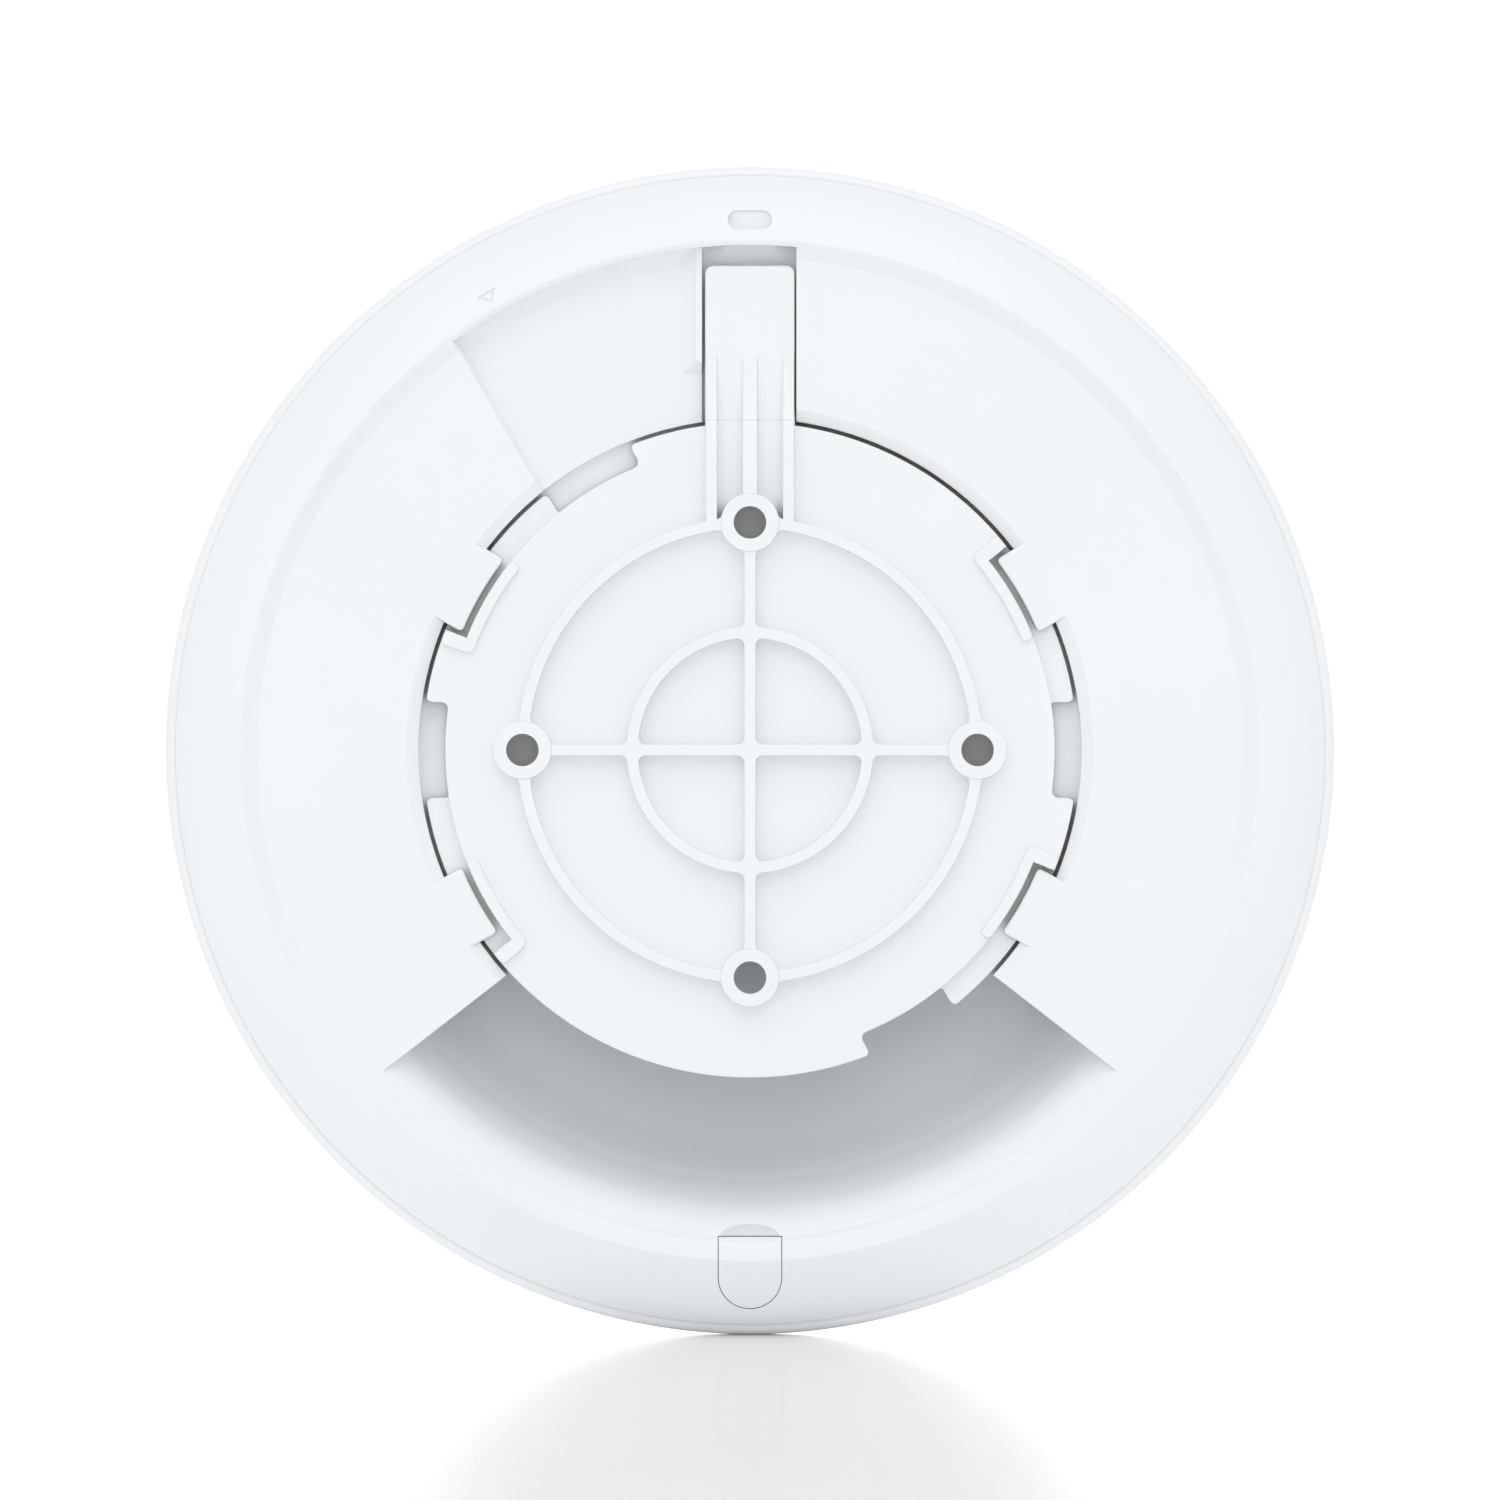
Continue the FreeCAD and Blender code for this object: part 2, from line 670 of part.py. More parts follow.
def wall_holes():
    """The openings in the pocket's straight wall, for the jack and the reset button."""
    near = POCKET_TOP_Z - EPS
    far = POCKET_TOP_Z + SKIN + EPS
    half = JACK_HALF + JACK_CLEAR
    yield block(-half, half, BOARD_Y - JACK_H - JACK_CLEAR, BOARD_Y + JACK_CLEAR, near, far)
    yield along_z(BUTTON_HOLE_R, near, far)


def rear_housing():
    """The tray that carries everything: the turned rear face with all that is sunk into it."""
    solid = rear_solid()
    # what is added stays behind the rear face and out of the bracket's well
    outside = rod(BODY_R, -EPS, LIP_END_Y).cut(solid)
    added = [piece.cut(outside) for piece in linings(solid)]
    shell = joined([solid.cut(rear_hollow())] + added)
    cutters = [
        pocket_turned(0).common(pocket_wedge(0)), arm_room(0, RECESS_Y), arm_slot(0),
        release_slot(), arrow_mark(), scallop(0), exit_shape(0, -EPS, EXIT_FLOOR_Y),
    ]
    for cutter in cutters:
        shell = shell.cut(cutter)
    shell = joined([shell] + list(tabs()) + [catch_rib(), slot_ramp()])
    for cutter in wall_holes():
        shell = shell.cut(cutter)
    for places, end in ((BOARD_POSTS, BOARD_Y), (SPREADER_POSTS, SPREADER_Y)):
        for x, z in places:
            shell = shell.cut(rod(POST_HOLE_R, end - POST_HOLE_DEEP, end + EPS, x, z))
    return shell


def cable_exit_plug():
    """The piece that fills the exit: its face carries on the rim and the pocket, and it is hollow."""
    body = exit_shape(-EXIT_GAP, 0, EXIT_FLOOR_Y - EXIT_GAP).common(rear_solid())
    body = body.cut(pocket_turned(0))
    hollow = exit_shape(-EXIT_GAP - PLUG_SKIN, PLUG_FACE_END_Y, EXIT_FLOOR_Y)
    keep = block(-EXIT_HALF, EXIT_HALF, 0, EXIT_FLOOR_Y, PLUG_HOLLOW_Z, 0)
    return body.cut(hollow.common(keep))


# ---------------------------------------------------------------- front cover and light


def dome_shape():
    """The dome's two tangent arcs: (shoulder centre, big centre and radius, shoulder angle)."""
    side_y = COVER_SIDE_Y[1]
    c = BODY_R - SHOULDER_R
    rise = BODY_DEPTH - side_y
    big = (c * c + rise * rise - SHOULDER_R * SHOULDER_R) / (2 * (rise - SHOULDER_R))
    angle = degrees(atan2(side_y - (BODY_DEPTH - big), c))
    return c, side_y, big, angle


def dome(inset, lip):
    """The cover's outer or inner form, filled: lip gives the steps of its edge."""
    c, side_y, big, angle = dome_shape()
    shoulder = bend(c, side_y, SHOULDER_R - inset, 0, angle)
    top = bend(0, BODY_DEPTH - big, big - inset, angle, 90)
    start_y = lip[0][1]
    return lathe(lip[0], *lip[1:], (BODY_R - inset, side_y), shoulder, top, (0, start_y))


def outer_dome():
    """The cover's outer form, filled."""
    return dome(0, [COVER_EDGE, (COVER_EDGE_MID, (BODY_R, COVER_SIDE_Y[0]))])


def front_cover():
    """The domed shell with its inner catches, the light board's posts and the light's hole."""
    lip = [(COVER_LIP_IN_R, COVER_EDGE[1] - EPS), (COVER_LIP_IN_R, COVER_SIDE_Y[1])]
    shell = outer_dome().cut(dome(COVER_T, lip))
    in_r, y0, y1 = COVER_CATCH
    half = COVER_CATCH_SPAN / 2
    for n in range(CATCH_COUNT):
        middle = 360 * (n + 0.5) / CATCH_COUNT
        hook = sector(in_r, BODY_R - COVER_T / 2, middle - half, middle + half, y0, y1)
        shell = shell.fuse(hook)
    for n in range(LIGHT_POST_COUNT):
        x, z = polar(LIGHT_POST_AT_R, 360 * n / LIGHT_POST_COUNT)
        shell = shell.fuse(rod(LIGHT_POST_R, LIGHT_BOARD_Y[1], BODY_DEPTH - COVER_T / 2, x, z))
    return shell.cut(rod(LIGHT_R[1], 0, BODY_DEPTH + EPS))


def light_ring():
    """The clear ring let into the dome round the cap."""
    ring = tube(LIGHT_R[0] + LIGHT_GAP, LIGHT_R[1] - LIGHT_GAP, LIGHT_END_Y, BODY_DEPTH + EPS)
    return outer_dome().common(ring)


def centre_cap():
    """The round piece of the dome that the light ring goes round."""
    return outer_dome().common(rod(LIGHT_R[0], CAP_UNDER_Y, BODY_DEPTH + EPS))


def light_board():
    """The ring-shaped board under the light ring."""
    return tube(*LIGHT_BOARD_R, *LIGHT_BOARD_Y)


def light_diodes():
    """Small square lamps in a circle under the ring."""
    y = LIGHT_BOARD_Y[1]
    r = sum(LIGHT_R) / 2
    half = DIODE / 2
    for n in range(DIODE_COUNT):
        lamp = block(-half, half, y, y + DIODE_H, r - half, r + half)
        yield turned(lamp, 360 * n / DIODE_COUNT + DIODE_TURN)


def light_ribbon():
    """A flat ribbon from the light board, through the spreader, to its plug on the main board."""
    plug_top = BOARD_TOP_Y + RIBBON_PLUG_H
    z0 = RIBBON_Z - RIBBON_T / 2
    strip = block(-RIBBON_HALF, RIBBON_HALF, plug_top, LIGHT_BOARD_Y[0], z0, z0 + RIBBON_T)
    w, l = RIBBON_PLUG_HALF
    return strip.fuse(block(-w, w, BOARD_TOP_Y, plug_top, RIBBON_Z - l, RIBBON_Z + l))


# ---------------------------------------------------------------- board, chips and spreader


def drilled(plate, r, y0, y1, places):
    """The plate with a round hole through it at each place."""
    for x, z in places:
        plate = plate.cut(rod(r, y0 - EPS, y1 + EPS, x, z))
    return plate


def main_board():
    """A disc with a straight edge at the cable pocket, drilled for its screws and posts."""
    y0 = BOARD_Y
    y1 = BOARD_TOP_Y
    board = rod(BOARD_R, y0, y1).common(block(-BOARD_R, BOARD_R, y0, y1, BOARD_EDGE_Z, BOARD_R))
    board = drilled(board, SCREW_WAY_R, y0, y1, BOARD_POSTS)
    return drilled(board, POST_WAY_R, y0, y1, SPREADER_POSTS)


def screws(places, y):
    """Pan-head screws driven towards the ceiling, with a cross recess."""
    long, short = CROSS_HALF
    top = y + HEAD_H + EPS
    for x, z in places:
        head = rod(HEAD_R, y, y + HEAD_H, x, z)
        for a, b in ((long, short), (short, long)):
            head = head.cut(block(x - a, x + a, y + CROSS_FLOOR, top, z - b, z + b))
        yield head.fuse(rod(SCREW_R, y - SCREW_LENGTH, y + CROSS_FLOOR / 2, x, z))


def chip(x, z, width, height, thick):
    """A black package with its corner dot sunk into it."""
    half_w = width / 2
    half_h = height / 2
    top = BOARD_TOP_Y + thick
    body = block(x - half_w, x + half_w, BOARD_TOP_Y, top, z - half_h, z + half_h)
    return body.cut(rod(DOT_R, top - DOT_DEEP, top + EPS, x - half_w + DOT_IN, z + half_h - DOT_IN))


def open_box(x, z, half, wall, y0, y1, roof=0.0):
    """A square wall round (x, z), with a roof over it if that has a thickness."""
    outer = block(x - half, x + half, y0, y1, z - half, z + half)
    h = half - wall
    top = y1 - roof if roof else y1 + EPS
    return outer.cut(block(x - h, x + h, y0 - EPS, top, z - h, z + h))


def shield_frames():
    """A thin wall round each radio."""
    for x, z, *_ in CHIPS["radio_chips"][0]:
        yield open_box(x, z, CAN_HALF, CAN_T, BOARD_TOP_Y, BOARD_TOP_Y + CAN_H)


def shield_lids():
    """The lid that snaps over each frame."""
    half = CAN_HALF + LID_CLEAR + CAN_T
    top = BOARD_TOP_Y + CAN_H + CAN_T
    for x, z, *_ in CHIPS["radio_chips"][0]:
        yield open_box(x, z, half, CAN_T, BOARD_TOP_Y + LID_EDGE_H, top, CAN_T)


def thermal_pads():
    """Soft pads between the chips or cans and the spreader."""
    can_top = BOARD_TOP_Y + CAN_H + CAN_T
    for x, z, *_ in CHIPS["radio_chips"][0]:
        yield block(x - PAD_HALF, x + PAD_HALF, can_top, SPREADER_Y, z - PAD_HALF, z + PAD_HALF)
    places, thick = CHIPS["processor_chip"]
    x, z, width, height = places[0]
    yield block(
        x - width / 2, x + width / 2, BOARD_TOP_Y + thick, SPREADER_Y, z - height / 2, z + height / 2
    )


def heat_spreader():
    """A rimmed round plate with holes for the ribbon, the screws and the aerial leads."""
    y0 = SPREADER_Y
    y1 = PLATE_TOP_Y
    plate = rod(SPREADER_R, y0, y1)
    plate = plate.fuse(tube(SPREADER_R - SPREADER_RIM_T, SPREADER_R, y0, y1 + SPREADER_RIM_H))
    w, l = RIBBON_WAY_HALF
    plate = plate.cut(block(-w, w, y0 - EPS, y1 + EPS, RIBBON_Z - l, RIBBON_Z + l))
    plate = drilled(plate, SCREW_WAY_R, y0, y1, SPREADER_POSTS)
    plate = drilled(plate, HEAD_WAY_R, y0, y1, BOARD_POSTS)
    return drilled(plate, LEAD_WAY_R, y0, y1, [polar(LEAD_END_R, a) for a in LEAD_ANGLES])


# ---------------------------------------------------------------- aerials


def antenna(radius, length, width, height):
    """A bent strip: a foot on the plate, a wall, and a slotted roof."""
    y = PLATE_TOP_Y
    t = ANTENNA_T
    half = length / 2
    middle = radius - width / 2
    foot = block(-half / 2, half / 2, y, y + t, radius - ANTENNA_FOOT, radius)
    wall = block(-half / 2, half / 2, y, y + height, radius - t, radius)
    roof = block(-half, half, y + height - t, y + height, radius - width, radius)
    slot = block(
        -half / 2, half, y, y + height + EPS, middle - ANTENNA_SLOT_HALF, middle + ANTENNA_SLOT_HALF
    )
    return joined([foot, wall, roof.cut(slot)])


def antennas(name):
    """The aerials of one band, each in its place."""
    angles, *sizes = ANTENNAS[name]
    for angle in angles:
        yield turned(antenna(*sizes), angle)


def antenna_leads():
    """Coaxial leads that lie on the plate, then drop through it to the board."""
    y = PLATE_TOP_Y + LEAD_R + LEAD_LIFT
    b = LEAD_BEND
    k = b * (1 - cos(pi / 4))
    turn_start = V(0, y, LEAD_END_R + b)
    turn_end = V(0, y - b, LEAD_END_R)
    path = Part.Wire([
        Part.makeLine(V(0, y, LEAD_START_R), turn_start),
        Part.Arc(turn_start, V(0, y - k, LEAD_END_R + k), turn_end).toShape(),
        Part.makeLine(turn_end, V(0, BOARD_TOP_Y + CONNECTOR_H, LEAD_END_R)),
    ])
    ring = Part.Wire(Part.makeCircle(LEAD_R, V(0, y, LEAD_START_R), V(0, 0, -1)))
    lead = path.makePipeShell([ring], True, True)
    for angle in LEAD_ANGLES:
        yield turned(lead, angle)


def antenna_connectors():
    """The round press-on plugs at the leads' lower ends."""
    for angle in LEAD_ANGLES:
        yield rod(CONNECTOR_R, BOARD_TOP_Y, BOARD_TOP_Y + CONNECTOR_H, *polar(LEAD_END_R, angle))


def scan_antenna_board():
    """A small upright board for the scanning radio, with one corner cut off."""
    y = PLATE_TOP_Y
    x, up = SCAN_STEP
    board = block(-SCAN_HALF, SCAN_HALF, y, y + SCAN_H, SCAN_Z, SCAN_Z + SCAN_T)
    return board.cut(block(x, SCAN_HALF, y + up, y + SCAN_H + EPS, SCAN_Z - EPS, SCAN_Z + 2 * EPS))


# ---------------------------------------------------------------- jack


def jack_box(inset, z0, z1):
    """The jack's outer box, made smaller by an inset all round."""
    return block(
        JACK_X - JACK_HALF + inset, JACK_X + JACK_HALF - inset, BOARD_Y - JACK_H + inset,
        BOARD_Y - SEAT_GAP - inset, z0, z1,
    )


def jack_cavity():
    """The stepped opening that a network plug goes into."""
    y0, y1 = JACK_CAVITY_Y
    z0 = POCKET_TOP_Z - EPS
    z1 = POCKET_TOP_Z + JACK_CAVITY_DEEP
    main = block(JACK_X - JACK_CAVITY_HALF, JACK_X + JACK_CAVITY_HALF, y0, y1, z0, z1)
    left = JACK_X - JACK_LATCH_HALF
    return main.fuse(block(left, left + 2 * JACK_LATCH_HALF, y1 - EPS, y1 + JACK_LATCH_H, z0, z1))


def jack_shell():
    """The sheet-metal box round the jack, open at its back."""
    z1 = POCKET_TOP_Z + JACK_LENGTH
    room = jack_box(JACK_WALL, POCKET_TOP_Z + JACK_WALL, z1 + EPS)
    return jack_box(0, POCKET_TOP_Z, z1).cut(room).cut(jack_cavity())


def contact_places():
    """The middles of the eight contacts across the jack."""
    first = JACK_X - CONTACT_PITCH * (CONTACT_COUNT - 1) / 2
    return [first + n * CONTACT_PITCH for n in range(CONTACT_COUNT)]


def jack_insert():
    """The moulded body inside the shell, with a slot for each contact."""
    z0 = POCKET_TOP_Z + JACK_WALL + INSERT_CLEAR
    z1 = POCKET_TOP_Z + JACK_LENGTH - INSERT_SHORT
    body = jack_box(JACK_WALL + INSERT_CLEAR, z0, z1).cut(jack_cavity())
    y = JACK_CAVITY_Y[0]
    near, far = CONTACT_SLOT_Z
    for x in contact_places():
        left = x - CONTACT_SLOT_HALF
        right = x + CONTACT_SLOT_HALF
        body = body.cut(block(left, right, y - CONTACT_SLOT_DEEP, y + EPS, z0 + near, z0 + far))
    return body


def jack_contacts():
    """Eight sprung wires in the cavity's roof."""
    line = [(JACK_CAVITY_Y[0] + y, POCKET_TOP_Z + CONTACT_Z + z) for y, z in CONTACT_LINE]
    for x in contact_places():
        yield side_profile(x - CONTACT_HALF, x + CONTACT_HALF, *line)


# ---------------------------------------------------------------- power supply


def line_magnetics():
    """The transformer block behind the jack, with a shallow panel sunk into its face."""
    z0 = POCKET_TOP_Z + JACK_LENGTH + MAGNETICS_GAP
    z1 = z0 + MAGNETICS_LENGTH
    top = BOARD_Y - MAGNETICS_H
    half = MAGNETICS_HALF
    edge = MAGNETICS_EDGE
    body = block(-half, half, top, BOARD_Y - SEAT_GAP, z0, z1)
    half -= edge
    return body.cut(block(-half, half, top - EPS, top + MAGNETICS_PANEL_DEEP, z0 + edge, z1 - edge))


def power_transformer():
    """A square ferrite transformer with a waist on two sides for its winding."""
    x, z = CORE_PLACE
    half = CORE_HALF
    top = BOARD_Y - CORE_H
    core = block(x - half, x + half, top, BOARD_Y - SEAT_GAP, z - half, z + half)
    for left in (x - half - EPS, x + half - CORE_WAIST):
        right = left + CORE_WAIST + EPS
        waist = block(left, right, top + CORE_END, BOARD_Y - CORE_END, z - half - EPS, z + half + EPS)
        core = core.cut(waist)
    return core


def power_coils():
    """Round drum inductors."""
    outer, waist = COIL_R
    y0 = BOARD_Y - COIL_H
    y1 = BOARD_Y - SEAT_GAP
    winding = tube(waist, outer + EPS, y0 + COIL_END, y1 - COIL_END)
    for x, z in COIL_PLACES:
        yield rod(outer, y0, y1, x, z).cut(winding.translated(V(x, 0, z)))


def power_capacitors():
    """Round electrolytic capacitors with a line pressed into the top."""
    top = BOARD_Y - CAPACITOR_H
    half = CAPACITOR_LINE
    for x, z in CAPACITOR_PLACES:
        can = rod(CAPACITOR_R, top, BOARD_Y - SEAT_GAP, x, z)
        reach = CAPACITOR_R + EPS
        yield can.cut(block(x - reach, x + reach, top - EPS, top + half, z - half, z + half))


# ---------------------------------------------------------------- reset button


def along_z(r, z0, z1):
    """A round bar in line with the reset button."""
    return Part.makeCylinder(r, z1 - z0, V(BUTTON_X, BUTTON_Y, z0), V(0, 0, 1))


def reset_button():
    """The cap: its face stands in the pocket and its flange stops behind the wall."""
    flange_z = POCKET_TOP_Z + SKIN + BUTTON_PLAY
    cap = along_z(BUTTON_R, POCKET_TOP_Z - BUTTON_PROUD, flange_z + BUTTON_FLANGE_T / 2)
    return joined([cap, along_z(BUTTON_FLANGE_R, flange_z, flange_z + BUTTON_FLANGE_T)])


def reset_plunger():
    """The switch's own plunger, behind the cap."""
    start = POCKET_TOP_Z + SKIN + BUTTON_PLAY + BUTTON_FLANGE_T
    return along_z(PLUNGER_R, start, SWITCH_Z + PLUNGER_DEEP)


def reset_switch():
    """The switch's body on the board, with the hole that its plunger goes into."""
    x0 = BUTTON_X - SWITCH_HALF
    x1 = BUTTON_X + SWITCH_HALF
    z1 = SWITCH_Z + SWITCH_DEEP
    body = block(x0, x1, BUTTON_Y - SWITCH_UP, BOARD_Y - SEAT_GAP, SWITCH_Z, z1)
    return body.cut(along_z(PLUNGER_HOLE_R, SWITCH_Z - EPS, SWITCH_Z + PLUNGER_HOLE_DEEP))


# ---------------------------------------------------------------- write out


def node_shapes():
    """Every node: its name, and its solid or the list of its solids."""
    nodes = {
        "mounting_bracket": mounting_bracket(),
        "lock_arm": lock_arm(),
        "rear_housing": rear_housing(),
        "cable_exit_plug": cable_exit_plug(),
        "front_cover": front_cover(),
        "light_ring": light_ring(),
        "centre_cap": centre_cap(),
        "light_board": light_board(),
        "light_diodes": list(light_diodes()),
        "light_ribbon": light_ribbon(),
        "main_board": main_board(),
        "shield_frames": list(shield_frames()),
        "shield_lids": list(shield_lids()),
        "thermal_pads": list(thermal_pads()),
        "heat_spreader": heat_spreader(),
        "board_screws": list(screws(BOARD_POSTS, BOARD_TOP_Y)),
        "spreader_screws": list(screws(SPREADER_POSTS, PLATE_TOP_Y)),
        "antenna_leads": list(antenna_leads()),
        "antenna_connectors": list(antenna_connectors()),
        "scan_antenna_board": scan_antenna_board(),
        "jack_shell": jack_shell(),
        "jack_insert": jack_insert(),
        "jack_contacts": list(jack_contacts()),
        "line_magnetics": line_magnetics(),
        "power_transformer": power_transformer(),
        "power_coils": list(power_coils()),
        "power_capacitors": list(power_capacitors()),
        "reset_button": reset_button(),
        "reset_plunger": reset_plunger(),
        "reset_switch": reset_switch(),
    }
    for name, (places, thick) in CHIPS.items():
        nodes[name] = [chip(*place, thick) for place in places]
    for name in ANTENNAS:
        nodes[name] = list(antennas(name))
    return nodes


def main():
    os.makedirs("parts", exist_ok=True)
    for name, shape in node_shapes().items():
        solids = shape if isinstance(shape, list) else [shape]
        whole = Part.makeCompound([solid for piece in solids for solid in piece.Solids])
        if isinstance(shape, list):
            whole.exportStep(f"parts/{name}.step")
        else:
            shape.Solids[0].exportStep(f"parts/{name}.step")


main()
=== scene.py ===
"""Looks of a ceiling access point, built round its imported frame.

The drawings are in millimetres, and MM brings them to the scene's metres. Y is the distance from
the ceiling, +Z runs along the lock arm, and +X is to the right of it for somebody who looks from
the ceiling. An angle is measured from +Z towards -X.
"""
import json
from math import atan2, cos, degrees, hypot, pi, radians, sin, sqrt, tan

import bpy
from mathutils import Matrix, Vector


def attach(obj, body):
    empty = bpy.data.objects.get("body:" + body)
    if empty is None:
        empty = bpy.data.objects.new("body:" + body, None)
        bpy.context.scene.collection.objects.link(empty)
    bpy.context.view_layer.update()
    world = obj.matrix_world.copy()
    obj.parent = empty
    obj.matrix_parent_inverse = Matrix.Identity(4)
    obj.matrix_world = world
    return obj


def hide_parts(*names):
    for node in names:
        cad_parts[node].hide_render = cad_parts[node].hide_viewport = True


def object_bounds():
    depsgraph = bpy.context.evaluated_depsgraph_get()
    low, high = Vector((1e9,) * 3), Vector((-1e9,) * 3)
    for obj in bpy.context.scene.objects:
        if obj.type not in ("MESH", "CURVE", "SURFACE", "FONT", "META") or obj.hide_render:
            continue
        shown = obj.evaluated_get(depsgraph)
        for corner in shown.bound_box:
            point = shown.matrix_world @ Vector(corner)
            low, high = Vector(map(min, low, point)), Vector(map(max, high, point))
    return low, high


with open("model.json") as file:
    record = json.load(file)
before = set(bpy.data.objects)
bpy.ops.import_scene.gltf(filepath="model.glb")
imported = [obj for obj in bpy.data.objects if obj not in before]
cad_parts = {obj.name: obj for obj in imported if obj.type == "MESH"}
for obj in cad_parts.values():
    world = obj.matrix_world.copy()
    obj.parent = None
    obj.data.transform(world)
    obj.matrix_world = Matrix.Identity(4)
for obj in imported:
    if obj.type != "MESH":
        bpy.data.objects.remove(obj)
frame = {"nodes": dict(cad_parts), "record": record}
cad_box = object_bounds()

MM = 0.001
MERGE = 1e-6
STEPS = 240  # round a whole turn
CORNER_STEPS = 4
NEAR = 0.01  # places this close count as one, when edges are picked

# Levels, as distances from the ceiling
CREST_Y = 0.8
STOP_Y = 2.0
PLATE_Y = 3.0
BRACKET_Y = 3.2
ARM_Y = 3.5
SHELF_Y = 5.3
ARM_UNDER_Y = 5.4
RECESS_Y = 6.0
BRACKET_UNDER_Y = 7.2
WELL_Y = 7.8
SLOT_Y = 7.2
POCKET_Y = 25.5
BOARD_Y = 25.0
BODY_DEPTH = 46.0

# Rear housing
BODY_R = 103.0
SKIN = 1.8
WELL_R = 58.3
WELL_CHAMFER = (60.4, 4.3)
WELL_FLOOR_SOFT = 0.4
CHAMFER_SOFT = 0.3
PLATE_SOFT = 0.5
CREST_SOFT = 0.55
BEVEL_IN_R = 86.7
CREST_R = 89.7
CREST_UNDER = (90.3, 3.7)
RIM_MID = (96.1, 4.9)
RIM_END = (101.2, 10.5)
LIP_R = 100.6
LIP_IN_R = 98.8
LIP_END_Y = 18.0
GROOVE_Y = 11.1
RECESS_R = 88.8
RECESS_TURN = 30.0
RECESS_SLANT = 0.7
RECESS_ROOT_R = 2.6
SLOT_ROOT_R = 0.8
ROOM_HALF = 8.4
TAB_IN_R = 54.7
TAB_T = 2.0
TAB_CORNER_R = 0.9
TAB_EDGE_R = 0.35
TABS = ((60.0, 7.4), (119.0, 6.5), (241.0, 6.5), (300.0, 7.4))
POCKET_TOP_Z = -33.0
POCKET_SIDE = (42.8, -39.6)
POCKET_SLOPE = 23.4 / 18.2
POCKET_FAR_Z = -100.0
POCKET_LIP = (87.6, 2.2)
POCKET_SHOULDER = ((83.1, 5.0), (80.0, 9.3))
POCKET_WALL_END = (76.6, 18.0)
POCKET_CURVE = ((73.3, 23.3), (67.0, 25.5))
EXIT_HALF = 5.65
EXIT_TOP_Z = -85.5
EXIT_ROUND_Z = -92.75
EXIT_FLOOR_Y = 10.4
EXIT_GAP = 0.12
SCALLOP_HALF = 5.2
SCALLOP_DEEP = 2.7
SCALLOP_Y = 2.9
RELEASE_Z = 93.2
RELEASE_HALF_X = 3.85
RELEASE_HALF_Z = 1.65
RELEASE_FLOOR_Y = 4.3
ARROW_ANGLE = 30.0
ARROW_DEEP = 0.1
ARROW_OUTER = ((0, 90.8), (1.8, 92.8), (-1.8, 92.8))
ARROW_INNER = ((0, 91.3), (1.2, 92.5), (-1.2, 92.5))
CATCH_X = (-9.66, -8.43)
CATCH_Y = 4.0
CATCH_FOOT_Z = 68.0
CATCH_FOOT_R = 1.15
CATCH_EDGE_R = 0.2
CATCH_RAMP_X = -11.8
CATCH_RAMP_Z = 66.2
CATCH_RAMP_HIGH_Z = 68.8
CATCH_RAMP_STEP = 0.3
CATCH_RAMP_R = 1.7
SLOT_RIGHT_X = 8.15
SLOT_RAMP_HALF = 3.4
SLOT_RAMP_FOOT_HALF = 7.0
SLOT_RAMP_Z = 85.4
SLOT_RAMP_Y = 5.6
BOARD_POSTS = ((40.0, 43.0), (-40.0, 43.0), (56.0, -14.0), (-56.0, -14.0))
SPREADER_POSTS = ((61.0, 35.2), (-61.0, 35.2), (61.0, -35.2), (-61.0, -35.2))
POST_R = 3.4
POST_HOLE_R = 1.25
POST_HOLE_DEEP = 9.0
SPREADER_Y = 29.8
BUTTON_X = 19.0
BUTTON_Y = 18.5
BUTTON_HOLE_R = 1.58
JACK_WAY_HALF = 8.4
JACK_WAY_H = 13.7
PLUG_SKIN = 1.4
PLUG_FACE_END_Y = 5.2
PLUG_HOLLOW_Z = -93.95

# Bracket and arm
BRACKET_R = 57.6
BRACKET_RIM_IN_R = 50.6
BRACKET_T = 2.0
NOTCHES = (30.0, 90.0, 210.0, 270.0)
NOTCH_FLOOR_R = 53.6
NOTCH_HALF = 8.4
NOTCH_CORNER_R = 1.2
SHELF_START = 6.0
SHELF_END = 38.4
STOP_ARC_START = 21.5
STOP_ARC_IN_R = 51.6
STOP_LEG = 2.7
STOP_END_R = 0.8
STOP_CORNER_R = 1.5
STOP_EDGE_R = 0.2
SCREW_CIRCLE_R = 40.0
QUARTERS = (0, 90, 180, 270)
SCREW_HOLE_R = 2.85
SCREW_HEAD_R = 4.4
SCREW_SEAT_Y = 3.6
BOSS_R = 5.13
RIB_Y = 0.2
RIB_ROOT_Y = BRACKET_Y + 0.6  # inside the plate
ARM_RIB_ROOT_Y = ARM_Y + 0.8  # inside the arm
RIB_HALF = 1.0
INNER_RING_R = 20.7
WEB_R = 1.2
WEB_DEEP = 0.6  # how far a soft corner reaches into its rib
ARM_HALF = 7.9
ARM_ROOT_Z = 58.0
ARM_TIP_Z = 85.2
ARM_CORNER_R = 1.4
ARM_EDGE_R = 0.3
ARM_RIB_HIGH_Z = 49.0
ARM_RIB_END_Z = 69.6
ARM_RIBS = ((-7.75, -5.8), (-1.27, 1.27), (5.8, 7.75))
ARM_STUB_Z = 50.0
ARM_LEAD_Z = 55.0  # from here the plate slopes to the arm

# Cover, light ring and cap
COVER_EDGE = (101.6, 11.2)
COVER_EDGE_MID = (102.55, 12.0)
COVER_SIDE_Y = (13.6, 17.5)
COVER_LIP_IN_R = 100.9
COVER_T = 2.0
SHOULDER_R = 20.0
LIGHT_R = (21.0, 24.0)
LIGHT_END_Y = 42.6
CAP_UNDER_Y = 43.6
LIGHT_GAP = 0.05
LIGHT_SOFT = 0.2
SEAM_SOFT = 0.25

